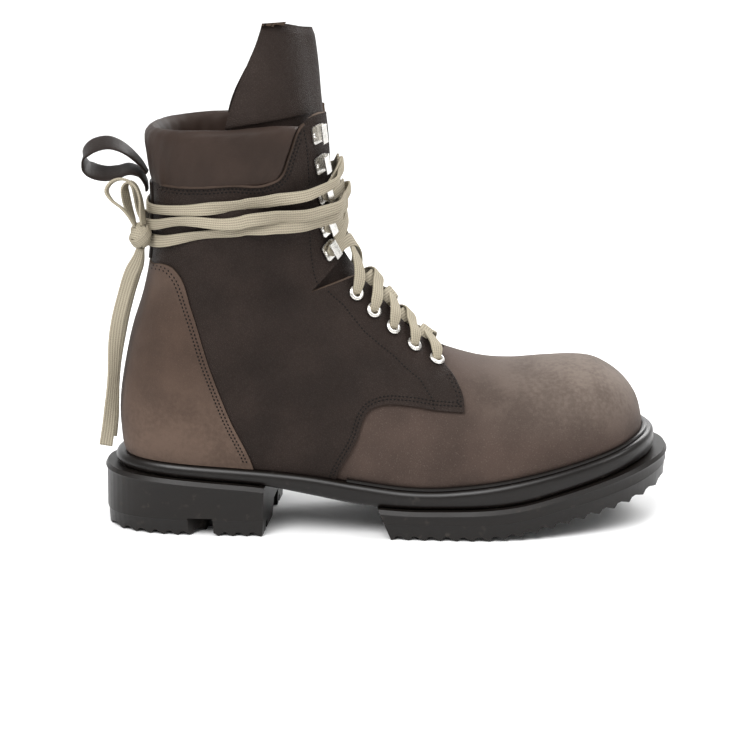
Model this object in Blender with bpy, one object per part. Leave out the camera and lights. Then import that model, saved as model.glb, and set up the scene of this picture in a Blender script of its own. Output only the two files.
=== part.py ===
# A laced army boot for the right foot, standing empty on its sole.
# +X runs to the toe, +Y to the inner side of the foot, +Z up. Metres.
# The origin is the middle of the flat on which the heel rests.
import math

import bmesh
import bpy
import numpy as np
from mathutils import Vector

# Driving sizes
last_length = 0.2912  # upper, from the heel curve to the toe
ball_width = 0.1020  # upper, at its widest
stack_height = 0.0384  # floor to the middle of the heel seat
shaft_height = 0.1840  # heel seat to the back of the collar
heel_rest = 0.0360  # heel curve to the origin, along the sole

# Thicknesses of the pieces
wall = 0.0022
quarter_thickness = 0.0014
counter_thickness = 0.0025
tongue_thickness = 0.0022
insole_thickness = 0.0030
strap_thickness = 0.0016
lace_thickness = 0.0015

# Sole sizes
midsole_side = 0.0055  # how far the midsole stands out beside the upper
midsole_heel = 0.0092
midsole_toe = 0.0072
midsole_round = 0.0024
outsole_side = 0.0090
outsole_heel = 0.0152
outsole_toe = 0.0150
bead_height = 0.0038
bead_round = 0.0012
wall_lean = 0.0012
lug_line = 0.0085
lug_step = 0.0005
tooth_depth = 0.0024
fore_pitch = 0.0087
heel_pitch = 0.0076
fore_rear = 0.1115  # origin to the rear face of the front outsole, at the floor
fore_rear_lean = 0.0070
heel_front = 0.0415  # origin to the breast of the heel, at the floor, outer side
heel_front_turn = math.radians(8.0)
heel_front_lean = 0.0030
lug_band = 0.0150
lug_channel = 0.0050
tread_depth = 0.0045
heel_notch = 0.0115  # a slanting groove across the heel's outer front corner
heel_notch_at = (0.0229, -0.0213, 0.0)
heel_notch_run = 0.0950
heel_notch_height = 0.0100
heel_notch_turn = math.radians(-40.0)

# Clearances
gap = 0.0003
margin = 0.0200  # how far a cutter runs past what it cuts

# The upper's sections, from the toe to above the collar. A section lies in the
# plane through its front and back points. Along: share of last_length from the
# heel curve. Rise: share of shaft_height above the feather line. Ridge, outer and
# inner: shares of ball_width, from the centre plane. Widest: share of the way from
# the back point to the front point. Round: exponents of the rounding.
SECTION_COLUMNS = (
    "front_along", "front_rise", "back_along", "back_rise", "ridge", "outer", "inner",
    "widest", "front_round", "back_round",
)
SECTIONS = (
    (0.9980, 0.036, 0.9980, -0.018, 0.049, 0.038, 0.135, 0.45, 2.1, 2.6),
    (0.9900, 0.090, 0.9900, -0.040, 0.049, 0.123, 0.222, 0.42, 2.2, 2.8),
    (0.9777, 0.130, 0.9777, -0.048, 0.049, 0.198, 0.286, 0.40, 2.3, 3.0),
    (0.9605, 0.168, 0.9605, -0.052, 0.049, 0.268, 0.345, 0.38, 2.3, 3.2),
    (0.9365, 0.208, 0.9365, -0.054, 0.047, 0.336, 0.389, 0.36, 2.3, 3.4),
    (0.9056, 0.245, 0.9056, -0.055, 0.044, 0.388, 0.428, 0.35, 2.3, 3.5),
    (0.8644, 0.269, 0.8644, -0.055, 0.041, 0.434, 0.460, 0.34, 2.25, 3.6),
    (0.8129, 0.284, 0.8129, -0.055, 0.039, 0.472, 0.486, 0.32, 2.2, 3.6),
    (0.7510, 0.299, 0.7510, -0.055, 0.039, 0.497, 0.496, 0.30, 2.15, 3.6),
    (0.6926, 0.322, 0.6926, -0.055, 0.041, 0.502, 0.478, 0.29, 2.1, 3.6),
    (0.6342, 0.360, 0.6342, -0.055, 0.044, 0.490, 0.438, 0.29, 2.05, 3.5),
    (0.5962, 0.392, 0.5580, -0.058, 0.044, 0.472, 0.402, 0.29, 2.0, 3.4),
    (0.5587, 0.440, 0.4760, -0.062, 0.041, 0.442, 0.368, 0.30, 1.95, 3.3),
    (0.5213, 0.505, 0.3760, -0.066, 0.035, 0.410, 0.352, 0.32, 1.95, 3.3),
    (0.4866, 0.568, 0.2668, -0.068, 0.028, 0.384, 0.352, 0.34, 2.0, 3.3),
    (0.4591, 0.618, 0.1604, -0.066, 0.020, 0.374, 0.356, 0.37, 2.0, 3.2),
    (0.4402, 0.658, 0.0700, -0.050, 0.012, 0.372, 0.360, 0.41, 2.0, 3.0),
    (0.4282, 0.696, 0.0200, -0.004, 0.008, 0.374, 0.364, 0.45, 2.0, 2.7),
    (0.4213, 0.735, 0.0095, 0.075, 0.005, 0.378, 0.370, 0.48, 2.0, 2.5),
    (0.4169, 0.775, 0.0098, 0.165, 0.000, 0.382, 0.376, 0.50, 2.0, 2.4),
    (0.4135, 0.818, 0.0192, 0.266, 0.000, 0.388, 0.382, 0.51, 2.05, 2.35),
    (0.4104, 0.866, 0.0348, 0.375, 0.000, 0.396, 0.390, 0.52, 2.1, 2.3),
    (0.4069, 0.916, 0.0572, 0.489, 0.000, 0.409, 0.404, 0.52, 2.15, 2.3),
    (0.4035, 0.968, 0.0724, 0.608, 0.000, 0.424, 0.419, 0.52, 2.2, 2.35),
    (0.4001, 1.018, 0.0762, 0.761, 0.000, 0.443, 0.438, 0.52, 2.25, 2.4),
    (0.3973, 1.064, 0.0745, 0.907, 0.000, 0.453, 0.448, 0.52, 2.25, 2.4),
    (0.3956, 1.086, 0.0728, 0.989, 0.000, 0.458, 0.453, 0.52, 2.25, 2.4),
    (0.3801, 1.200, 0.1160, 1.142, 0.015, 0.385, 0.410, 0.52, 2.1, 2.2),
    (0.3630, 1.325, 0.1670, 1.285, 0.025, 0.270, 0.330, 0.52, 2.0, 2.0),
)
COLLAR_ROW = 26  # the section at the collar's rim

# Heights along the sole. Along: share of last_length from the heel curve. The
# others: shares of stack_height above the floor.
SOLE_COLUMNS = ("along", "feather", "crease", "tread")
SOLE_LINES = (
    (-0.060, 1.078, 0.910, 0.00),
    (0.000, 1.068, 0.875, 0.00),
    (0.160, 0.995, 0.786, 0.00),
    (0.275, 0.935, 0.709, 0.00),
    (0.350, 0.880, 0.607, 0.00),
    (0.450, 0.768, 0.470, 0.00),
    (0.530, 0.698, 0.428, 0.00),
    (0.600, 0.695, 0.430, 0.00),
    (0.655, 0.735, 0.442, 0.00),
    (0.750, 0.850, 0.515, 0.07),
    (0.830, 0.975, 0.652, 0.21),
    (0.910, 1.120, 0.800, 0.345),
    (1.000, 1.300, 0.977, 0.52),
    (1.060, 1.380, 1.060, 0.65),
)

# Panel edges as seen from the side. Along and rise are shares, as in the sections.
COUNTER_EDGE = (
    (0.040, 0.575), (0.067, 0.582), (0.088, 0.593), (0.107, 0.591), (0.118, 0.576),
    (0.141, 0.478), (0.173, 0.304), (0.208, 0.156), (0.250, 0.010), (0.262, -0.100),
)
QUARTER_FRONT = (
    (0.402, -0.100), (0.406, 0.007), (0.441, 0.123), (0.472, 0.232), (0.492, 0.247),
    (0.532, 0.251), (0.594, 0.237), (0.644, 0.225), (0.643, 0.266), (0.629, 0.317),
    (0.610, 0.355), (0.606, 0.460),
)
COLLAR_LINE = (
    (-0.100, 0.820), (0.0745, 0.825), (0.120, 0.831), (0.1645, 0.839), (0.219, 0.852),
    (0.277, 0.858), (0.3015, 0.877), (0.3207, 0.949), (0.3417, 1.029), (0.3593, 1.056),
    (0.3915, 1.0725), (0.500, 1.080),
)
NOTCH = ((0.362, 0.5435), (0.436, 0.675), (0.520, 0.640))

# The throat between the facings. Section: row of the section table. Half: share of
# ball_width from the ridge to the facing's edge.
THROAT = (
    (10.40, 0.020), (10.48, 0.060), (10.65, 0.085), (11.00, 0.105), (12.00, 0.128),
    (14.00, 0.138), (16.00, 0.142), (18.00, 0.148), (20.00, 0.158), (22.00, 0.174),
    (24.00, 0.190), (26.60, 0.208),
)

# Eyelets and hooks from the toe upward: row of the section table and turn. A hook's
# third value is its seat's clearance, as a number of gaps.
EYELETS = ((10.96, 27.0), (12.02, 27.5), (12.94, 29.0), (13.78, 30.5), (14.68, 30.5))
HOOKS = (
    (17.60, 31.5, 3), (19.20, 32.5, 3), (21.18, 35.0, 3), (22.76, 37.0, 2.5), (24.24, 38.0, 1),
)

# The collar pad. Share: up the pad from its seam to its rim. Outer, inner: how far
# it stands out and in from the last, as shares of pad_bulge.
pad_bulge = 0.0045
PAD_PROFILE = (
    (-0.04, 0.30, -0.40), (0.16, 0.80, -0.95), (0.56, 1.00, -1.10), (0.88, 0.74, -0.88),
    (1.00, 0.14, -0.26),
)
# Seam and rim of the pad round the collar. Turn in degrees, rows of the table.
PAD_SPAN = (
    (54.0, 23.20, 24.86), (72.0, 23.26, 25.25), (86.0, 23.55, 25.47), (104.0, 23.94, 25.74),
    (131.0, 24.23, 25.88), (180.0, 24.42, 25.94),
)
PAD_FRONT = (76.0, 56.0)  # turn of the pad's front end at its seam and at its rim

# The tongue: row of the section table, half its spread in degrees, and how far its
# outer face lies inside the last, as a share of tongue_depth.
tongue_depth = 0.0056
TONGUE = (
    (8.60, 22.0, 0.56), (9.60, 30.0, 0.56), (10.60, 38.0, 0.56), (12.00, 46.0, 0.58),
    (14.00, 56.0, 0.62), (16.00, 66.0, 0.68), (18.00, 74.0, 0.72), (20.00, 82.0, 0.84),
    (22.00, 90.0, 0.96), (24.00, 96.0, 1.04), (26.00, 98.0, 1.06), (27.00, 94.0, 0.80),
    (27.90, 84.0, 0.50),
)
tongue_tilt = 0.20  # rows by which the top's outer corner stands higher, inner lower

# Bands of lace round the shaft: turn in degrees and rows of the table.
BANDS = (
    ((0.0, 21.90), (21.5, 21.70), (51.5, 22.10), (78.0, 22.70), (98.0, 23.28), (158.0, 23.88), (180.0, 23.92)),
    ((0.0, 20.45), (25.5, 20.40), (50.5, 21.12), (77.0, 22.08), (111.5, 23.26), (155.0, 23.58), (180.0, 23.60)),
    ((0.0, 19.55), (17.5, 19.54), (49.5, 20.56), (76.0, 21.60), (97.0, 22.48), (156.5, 23.26), (180.0, 23.30)),
)

# Routes of the free lace, in metres, from the knot outward.
KNOT_AT = (-0.0217, -0.0246, 0.1640)
NEAR_LOOP = (
    (-0.0242, -0.0272, 0.1702), (-0.0268, -0.0280, 0.1748), (-0.0309, -0.0288, 0.1795),
    (-0.0360, -0.0296, 0.1839), (-0.0386, -0.0298, 0.1893), (-0.0352, -0.0290, 0.1939),
    (-0.0295, -0.0280, 0.1948), (-0.0240, -0.0275, 0.1914), (-0.0214, -0.0274, 0.1854),
    (-0.0206, -0.0273, 0.1787), (-0.0200, -0.0272, 0.1702),
)
FAR_LOOP = (
    (-0.0200, -0.0228, 0.1706), (-0.0218, -0.0190, 0.1776), (-0.0232, -0.0164, 0.1844),
    (-0.0252, -0.0146, 0.1896), (-0.0280, -0.0140, 0.1912), (-0.0300, -0.0144, 0.1880),
    (-0.0292, -0.0160, 0.1820), (-0.0274, -0.0190, 0.1760), (-0.0248, -0.0228, 0.1706),
)
NEAR_END = (
    (-0.0217, -0.0268, 0.1576), (-0.0240, -0.0268, 0.1506), (-0.0276, -0.0262, 0.1430),
    (-0.0312, -0.0250, 0.1317), (-0.0349, -0.0242, 0.1178), (-0.0372, -0.0232, 0.1038),
    (-0.0386, -0.0222, 0.0868), (-0.0402, -0.0212, 0.0726), (-0.0418, -0.0202, 0.0583),
    (-0.0437, -0.0194, 0.0467),
)
FAR_END = (
    (-0.0217, -0.0226, 0.1576), (-0.0230, -0.0206, 0.1506), (-0.0262, -0.0176, 0.1409),
    (-0.0298, -0.0154, 0.1297), (-0.0334, -0.0144, 0.1157), (-0.0362, -0.0134, 0.0987),
    (-0.0380, -0.0128, 0.0816), (-0.0396, -0.0122, 0.0647), (-0.0416, -0.0116, 0.0502),
)
PULL_LOOP = (
    (-0.0188, 0.1945), (-0.0224, 0.2000), (-0.0286, 0.2060), (-0.0350, 0.2097), (-0.0411, 0.2108),
    (-0.0481, 0.2087), (-0.0523, 0.2041), (-0.0516, 0.1986), (-0.0474, 0.1954),
    (-0.0410, 0.1940), (-0.0345, 0.1948), (-0.0286, 0.1964), (-0.0228, 0.1944),
    (-0.0196, 0.1892), (-0.0190, 0.1850),
)

AROUND = 24  # mesh points around a section
QUARTER_ROW = 7  # sections from which the side panels and the counter are made
COUNTER_ROW = 11


def fresh_scene():
    for thing in list(bpy.data.objects):
        bpy.data.objects.remove(thing, do_unlink=True)


def along_x(share):
    """The place of a share of the last's length, in metres from the origin."""
    return share * last_length - heel_rest


def curve_value(places, values, at):
    """Values at places, read on a smooth curve through a table's rows."""
    places, values = np.asarray(places, float), np.asarray(values, float)
    steps = np.diff(places)
    slopes = np.diff(values) / steps
    inner = (slopes[:-1] * steps[1:] + slopes[1:] * steps[:-1]) / (steps[:-1] + steps[1:])
    tangents = np.concatenate([[slopes[0]], inner, [slopes[-1]]])
    at = np.clip(np.asarray(at, float), places[0], places[-1])
    left = np.clip(np.searchsorted(places, at, side="right") - 1, 0, len(steps) - 1)
    u = (at - places[left]) / steps[left]
    return (
        values[left] * (1 + 2 * u) * (1 - u) ** 2
        + tangents[left] * steps[left] * u * (1 - u) ** 2
        + values[left + 1] * u**2 * (3 - 2 * u)
        + tangents[left + 1] * steps[left] * u**2 * (u - 1)
    )


def sole_height(name, x):
    """The height of one of the sole's lines over the floor at x."""
    column = SOLE_COLUMNS.index(name)
    places = [along_x(row[0]) for row in SOLE_LINES]
    return curve_value(places, [row[column] * stack_height for row in SOLE_LINES], x)


def section_values(name, t):
    """One column of the section table at table rows t, which may be fractions."""
    column = SECTION_COLUMNS.index(name)
    return curve_value(range(len(SECTIONS)), [row[column] for row in SECTIONS], t)


def form_point(t, turn):
    """Points of the last's surface: t counts sections from the toe, turn goes round
    a section from its front point over the outer side to the back point."""
    t, turn = np.broadcast_arrays(np.asarray(t, float), np.asarray(turn, float))
    front_x = along_x(section_values("front_along", t))
    back_x = along_x(section_values("back_along", t))
    front_rise = section_values("front_rise", t) * shaft_height
    back_rise = section_values("back_rise", t) * shaft_height
    ridge = section_values("ridge", t) * ball_width
    widest = section_values("widest", t)
    cosine, sine = np.cos(turn), np.sin(turn)
    to_front = cosine >= 0
    power = 2 / np.where(to_front, section_values("front_round", t), section_values("back_round", t))
    reach = np.where(to_front, 1 - widest, widest)
    share = widest + reach * np.sign(cosine) * np.abs(cosine) ** power
    side = np.where(
        sine >= 0,
        -(section_values("outer", t) * ball_width + ridge),
        section_values("inner", t) * ball_width - ridge,
    )
    x = back_x + share * (front_x - back_x)
    rise = back_rise + share * (front_rise - back_rise)
    y = ridge + side * np.abs(sine) ** power
    return np.stack([x, y, rise + sole_height("feather", x)], axis=-1)


def form_shell_point(t, turn, offset):
    """Points at a distance outside (or, below zero, inside) the last's surface."""
    t, turn = np.broadcast_arrays(np.asarray(t, float), np.asarray(turn, float))
    small = 0.02
    low, high = np.clip(t - small, 0, None), np.clip(t + small, None, len(SECTIONS) - 1)
    up = form_point(high, turn) - form_point(low, turn)
    round_it = form_point(t, turn + small) - form_point(t, turn - small)
    normal = np.cross(up, round_it)
    normal /= np.maximum(np.linalg.norm(normal, axis=-1, keepdims=True), 1e-12)
    return form_point(t, turn) + normal * np.asarray(offset)[..., None]


def add_object(name, points, faces, look, smooth=True):
    """A mesh object from points and faces, its faces turned outward."""
    mesh = bpy.data.meshes.new(name)
    mesh.from_pydata([tuple(float(v) for v in p) for p in points], [], faces)
    work = bmesh.new()
    work.from_mesh(mesh)
    bmesh.ops.remove_doubles(work, verts=work.verts, dist=1e-6)
    bmesh.ops.dissolve_degenerate(work, edges=work.edges, dist=1e-7)
    bmesh.ops.recalc_face_normals(work, faces=work.faces)
    if work.calc_volume(signed=True) < 0:
        bmesh.ops.reverse_faces(work, faces=work.faces)
    work.to_mesh(mesh)
    work.free()
    if smooth:
        mesh.shade_smooth()
        mesh.set_sharp_from_angle(angle=math.radians(35))
    thing = bpy.data.objects.new(name, mesh)
    bpy.context.scene.collection.objects.link(thing)
    if look is not None:
        mesh.materials.append(look)
    return thing


def cutter(name, points, faces):
    """A guide shape that only cuts others."""
    thing = add_object(name, points, faces, None, smooth=False)
    thing.hide_render = True
    thing.display_type = "WIRE"
    return thing


def cut(thing, tool, how="DIFFERENCE", solver="MANIFOLD"):
    change = thing.modifiers.new(how.lower() + " " + tool.name, "BOOLEAN")
    change.operation = how
    change.object = tool
    change.solver = solver
    return thing


def loft(rings, closed_ends=True):
    """Points and faces of rings with equal counts, joined one to the next."""
    count = len(rings[0])
    points = [p for ring in rings for p in ring]
    faces = []
    for row in range(len(rings) - 1):
        for k in range(count):
            a, b = row * count + k, row * count + (k + 1) % count
            faces.append((a, b, b + count, a + count))
    if closed_ends:
        faces.append(tuple(range(count))[::-1])
        last = (len(rings) - 1) * count
        faces.append(tuple(range(last, last + count)))
    return points, faces


def prism(outline, half_width):
    """A side outline of (x, z) points, run across the boot in Y."""
    low, high = (half_width if isinstance(half_width, tuple) else (-half_width, half_width))
    rings = [[(x, side, z) for x, z in outline] for side in (low, high)]
    return loft(rings)


def shell_faces(start, rows):
    """Triangles over rows of points round the last, cut along the same diagonals in
    every shell, so that two shells stay apart."""
    faces = []
    for row in range(rows - 1):
        for k in range(AROUND):
            a, b = start + row * AROUND + k, start + row * AROUND + (k + 1) % AROUND
            faces += [(a, b, b + AROUND), (a, b + AROUND, a + AROUND)]
    return faces


def rim_faces(first, second):
    """Faces between two rings of points round the last."""
    faces = []
    for k in range(AROUND):
        n = (k + 1) % AROUND
        faces.append((first + k, first + n, second + n, second + k))
    return faces


def form_shell(name, outer_offset, inner_offset, look, first_row=0):
    """A shell on the last between two offsets, open at the collar. From row 0 it is
    closed round the toe, and from a later row it is open there too."""
    rows = np.arange(first_row, COLLAR_ROW + 1)
    turns = np.arange(AROUND) * 2 * math.pi / AROUND
    points, faces, starts = [], [], []
    for offset in (outer_offset, inner_offset):
        grid = form_shell_point(rows[:, None], turns[None, :], offset)
        starts.append(len(points))
        points.extend(grid.reshape(-1, 3))
        faces += shell_faces(starts[-1], len(rows))
        if first_row == 0:
            tip = len(points)
            points.append(grid[0].mean(axis=0) + np.array([outer_tip(offset), 0, 0]))
            for k in range(AROUND):
                faces.append((tip, starts[-1] + (k + 1) % AROUND, starts[-1] + k))
    last = (len(rows) - 1) * AROUND
    faces += rim_faces(starts[0] + last, starts[1] + last)
    if first_row > 0:
        faces += rim_faces(*starts)
    return add_object(name, points, faces, look)


def outer_tip(offset):
    """How far the toe's pole stands in front of the first section's middle."""
    return (1 - SECTIONS[0][0]) * last_length + offset * 0.5


def feather_outline(rise, count=240):
    """The last's outline in plan, at a height above the feather line."""
    rows = np.linspace(0, COLLAR_ROW, 420)
    turns = np.linspace(0, 2 * math.pi, 721)
    grid = form_point(rows[:, None], turns[None, :])
    level = grid[..., 2] - sole_height("feather", grid[..., 0]) - rise
    half = len(turns) // 2
    sides = {"outer": [], "inner": []}
    for row in range(len(rows)):
        for name, span in (("outer", range(half)), ("inner", range(len(turns) - 1, half, -1))):
            step = 1 if name == "outer" else -1
            for k in span:
                a, b = level[row, k], level[row, k + step]
                if a > 0 >= b:
                    share = a / (a - b)
                    sides[name].append(grid[row, k] * (1 - share) + grid[row, k + step] * share)
                    break
    tip = (np.asarray(form_point(0, 0)) + np.asarray(form_point(0, math.pi))) / 2
    tip[0] = along_x(1.0)
    back = []
    for row in range(len(rows) - 1):
        a, b = level[row, half], level[row + 1, half]
        if a < 0 <= b:
            share = a / (a - b)
            back.append(grid[row, half] * (1 - share) + grid[row + 1, half] * share)
    loop = [tip] + sides["outer"] + back[:1] + sides["inner"][::-1]
    return even_loop(np.array(loop)[:, :2], count)


def even_loop(loop, count):
    """A closed plan line of evenly spaced points, lightly smoothed."""
    closed = np.vstack([loop, loop[:1]])
    run = np.concatenate([[0], np.cumsum(np.linalg.norm(np.diff(closed, axis=0), axis=1))])
    at = np.linspace(0, run[-1], count, endpoint=False)
    even = np.stack([np.interp(at, run, closed[:, k]) for k in (0, 1)], axis=1)
    for _ in range(6):
        even = even * 0.5 + (np.roll(even, 1, axis=0) + np.roll(even, -1, axis=0)) * 0.25
    return even


def outward(loop):
    """Unit directions pointing out of a closed plan line."""
    run = np.roll(loop, -1, axis=0) - np.roll(loop, 1, axis=0)
    out = np.stack([run[:, 1], -run[:, 0]], axis=1)
    out /= np.linalg.norm(out, axis=1, keepdims=True)
    if ((loop - loop.mean(axis=0)) * out).sum() < 0:
        out = -out
    return out


def stand_out(loop, side, heel, toe):
    """A plan line moved outward by a side margin that turns to the end margins."""
    out = outward(loop)
    ends = np.where(out[:, 0] > 0, toe, heel)
    step = side + (ends - side) * out[:, 0] ** 2
    return loop + out * step[:, None]


def side_lines(loop):
    """A closed plan line split at its ends: x and y of the outer and inner sides."""
    front, back = int(loop[:, 0].argmax()), int(loop[:, 0].argmin())
    rolled = np.roll(loop, -front, axis=0)
    turn = (back - front) % len(loop)
    first, second = rolled[: turn + 1], np.vstack([rolled[turn:], rolled[:1]])
    chains = [first[::-1], second]
    chains.sort(key=lambda chain: chain[:, 1].mean())
    return chains


def edge_y(chain, x):
    order = np.maximum.accumulate(chain[:, 0] + np.arange(len(chain)) * 1e-9)
    return np.interp(x, order, chain[:, 1])


def station_ring(loop, height, stations, starts=None, stops=None):
    """A ring of a sole layer: paired points on both sides at stations along it.
    Starts and stops are x on the outer and inner side where an end is cut straight."""
    sides = []
    for number, chain in enumerate(side_lines(loop)):
        low = loop[:, 0].min() if starts is None else starts[number]
        high = loop[:, 0].max() if stops is None else stops[number]
        x = low + (high - low) * stations
        sides.append(np.stack([x, edge_y(chain, x), height(x)], 1))
    return sides


def end_spacing(count, straight=None):
    """Stations from 0 to 1, close together at each end that is round."""
    even = np.linspace(0, 1, count)
    if straight == "start":
        return np.sin(even * math.pi / 2)
    if straight == "stop":
        return 1 - np.cos(even * math.pi / 2)
    return (1 - np.cos(even * math.pi)) / 2


def layer(name, rings, look):
    """A closed layer of the sole from station rings, listed from the bottom up."""
    count = len(rings[0][0])
    points, faces = [], []
    for left, right in rings:
        points.extend(left)
        points.extend(right)
    size = 2 * count
    for ring in range(len(rings) - 1):
        for side in (0, 1):
            for k in range(count - 1):
                a = ring * size + side * count + k
                face = (a, a + 1, a + 1 + size, a + size)
                faces.append(face if side else face[::-1])
        for end in (0, count - 1):
            a, b = ring * size + end, ring * size + count + end
            face = (a, b, b + size, a + size)
            faces.append(face if end else face[::-1])
    for ring in (0, len(rings) - 1):
        for k in range(count - 1):
            a, b = ring * size + k, ring * size + count + k
            faces.append((a, a + 1, b + 1, b))
    return add_object(name, points, faces, look)


def look(name, colour, roughness, metallic=0.0):
    material = bpy.data.materials.new(name)
    material.use_nodes = True
    shader = material.node_tree.nodes["Principled BSDF"]
    shader.inputs["Base Color"].default_value = (*colour, 1.0)
    shader.inputs["Roughness"].default_value = roughness
    shader.inputs["Metallic"].default_value = metallic
    material.diffuse_color = (*colour, 1.0)
    return material


def make_looks():
    return {
        "vamp": look("vamp_leather", (0.090, 0.066, 0.053), 0.80),
        "quarter": look("quarter_leather", (0.068, 0.050, 0.042), 0.75),
        "nubuck": look("counter_nubuck", (0.115, 0.084, 0.066), 0.85),
        "lining": look("lining_leather", (0.080, 0.058, 0.046), 0.80),
        "midsole": look("midsole_rubber", (0.036, 0.026, 0.021), 0.50),
        "outsole": look("outsole_rubber", (0.026, 0.020, 0.017), 0.62),
        "lace": look("lace_cotton", (0.520, 0.490, 0.400), 0.90),
        "metal": look("eyelet_metal", (0.760, 0.750, 0.720), 0.28, 1.0),
    }


def tooth_comb(start, pitch, count):
    """Side outline of the hollows between teeth: steep on the heel side of a tip,
    then a ramp that rises to a rounded crest towards the toe."""
    tooth = ((0.00, 0.0), (0.18, 0.88), (0.42, 1.0), (0.96, 0.0))
    points = [(start - margin, -margin)]
    for number in range(count):
        for share, rise in tooth:
            x = start + (number + share) * pitch
            points.append((x, float(sole_height("tread", x)) + rise * tooth_depth))
    points.append((start + count * pitch, -margin))
    return points


def outsole_line(feather, inset):
    return stand_out(feather, outsole_side - inset, outsole_heel - inset, outsole_toe - inset)


def outsole_wall(feather, stations, starts, stops):
    """The side of an outsole unit from the tread up: a step above the lugs, a wall
    that leans in towards the tread, and a bead round the top."""

    def tread(rise):
        return lambda x: sole_height("tread", x) + rise

    def crease(drop):
        return lambda x: sole_height("crease", x) - drop

    wall_rings = (
        (lug_step + wall_lean, tread(0.0)),
        (lug_step + wall_lean * 0.5, tread(lug_line)),
        (wall_lean * 0.5, tread(lug_line + lug_step)),
        (bead_round * 0.7, crease(bead_height)),
        (0.0, crease(bead_height * 0.60)),
        (bead_round, crease(0.0)),
    )
    rings = []
    for inset, height in wall_rings:
        line = outsole_line(feather, inset)
        middle = float(height(np.array(fore_rear)))
        ring_starts = starts(middle) if starts else None
        ring_stops = stops(middle) if stops else None
        rings.append(station_ring(line, height, stations, ring_starts, ring_stops))
    return rings


def tread_block(feather, inset, low):
    """Rings of an upright block inside the outsole's edge, as high as the lugs."""
    stations = end_spacing(18)
    line = outsole_line(feather, inset)
    heights = (lambda x: x * 0 + low, lambda x: sole_height("tread", x) + tread_depth)
    return [station_ring(line, height, stations) for height in heights]


def cut_tread(unit, feather, comb):
    """Teeth round the edge of a unit's tread, and a channel between them and the
    middle lugs."""
    points, faces = prism(comb, ball_width)
    teeth = cutter(unit.name + "_tooth_hollows", points, faces)
    island = layer(unit.name + "_middle", tread_block(feather, lug_band + lug_channel, -2 * margin), None)
    channel = layer(unit.name + "_channel", tread_block(feather, lug_band, -margin), None)
    for guide in (island, channel):
        guide.hide_render = True
        guide.display_type = "WIRE"
    cut(teeth, island)
    cut(channel, island)
    cut(unit, teeth)
    cut(unit, channel)


def box(centre, size, turn=0.0):
    """Points and faces of a box turned about Z."""
    cosine, sine = math.cos(turn), math.sin(turn)
    rings = []
    for up in (-0.5, 0.5):
        ring = []
        for across, away in ((-0.5, -0.5), (0.5, -0.5), (0.5, 0.5), (-0.5, 0.5)):
            dx, dy = across * size[0], away * size[1]
            ring.append(
                (
                    centre[0] + dx * cosine - dy * sine,
                    centre[1] + dx * sine + dy * cosine,
                    centre[2] + up * size[2],
                )
            )
        rings.append(ring)
    return loft(rings)


def make_soles(looks, feather):
    def midsole_line(inset):
        return stand_out(feather, midsole_side - inset, midsole_heel - inset, midsole_toe - inset)

    def lifted(name, rise):
        return lambda x: sole_height(name, x) + rise

    half = midsole_round
    stations = end_spacing(36)
    midsole = layer(
        "midsole",
        [
            station_ring(midsole_line(half * 0.9), lifted("crease", gap), stations),
            station_ring(midsole_line(0), lifted("crease", half * 1.6), stations),
            station_ring(midsole_line(half * 0.1), lifted("feather", -half * 1.1), stations),
            station_ring(midsole_line(half * 1.2), lifted("feather", 0), stations),
        ],
        looks["midsole"],
    )

    def fore_start(z):
        x = fore_rear - fore_rear_lean * z / (stack_height * 0.43)
        return (x, x)

    def heel_stop(z):
        outer = heel_front + heel_front_lean * z / stack_height
        return (outer, outer + math.tan(heel_front_turn) * ball_width * 0.8)

    fore_stations = end_spacing(25, "start")
    outsole = layer("outsole", outsole_wall(feather, fore_stations, fore_start, None), looks["outsole"])
    heel_stations = end_spacing(18, "stop")
    heel = layer("heel", outsole_wall(feather, heel_stations, None, heel_stop), looks["outsole"])

    fore_teeth = int((outsole.bound_box[4][0] - fore_rear) / fore_pitch)
    cut_tread(outsole, feather, tooth_comb(fore_rear + 0.0010, fore_pitch, fore_teeth))
    heel_end = heel.bound_box[0][0] + 0.0030
    heel_teeth = int((heel_front - heel_end) / heel_pitch)
    cut_tread(heel, feather, tooth_comb(heel_end, heel_pitch, heel_teeth))

    notch = box(heel_notch_at, (heel_notch, heel_notch_run, 2 * heel_notch_height), heel_notch_turn)
    cut(heel, cutter("heel_notch", *notch))

    for number in range(3):
        x = fore_rear + (0.24 + 0.24 * number) * (outsole.bound_box[4][0] - fore_rear)
        z = float(sole_height("tread", x)) + tread_depth / 2 - margin / 2
        points, faces = box((x, 0, z), (lug_channel, ball_width * 0.7, tread_depth + margin))
        cut(outsole, cutter("fore_groove_%d" % (number + 1), points, faces))
    return midsole, outsole, heel


def side_points(shares):
    """Side outline points from a table of shares along the last and above the sole."""
    points = []
    for along, rise in shares:
        x = along_x(along)
        points.append((x, float(sole_height("feather", x)) + rise * shaft_height))
    return points


def shifted(points, dx, dz):
    return [(x + dx, z + dz) for x, z in points]


def floor_cutter():
    """What lies below the upper: the midsole's top and the room under it."""
    x = np.linspace(along_x(1.15), along_x(-0.15), 36)
    outline = [(along_x(-0.15), -margin), (along_x(1.15), -margin)]
    outline += [(float(v), float(sole_height("feather", v)) + gap) for v in x]
    return cutter("below_feather", *prism(outline, ball_width))


def throat_cutter():
    rings = []
    for row, half in THROAT:
        middle = form_point(row, 0.0)
        ahead = middle - form_point(row, math.pi)
        ahead[1] = 0.0
        ahead /= np.linalg.norm(ahead)
        inner, outer = middle - ahead * wall * 4, middle + ahead * wall * 6
        across = np.array([0.0, half * ball_width, 0.0])
        rings.append([inner - across, outer - across, outer + across, inner + across])
    return cutter("throat", *loft(rings))


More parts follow.
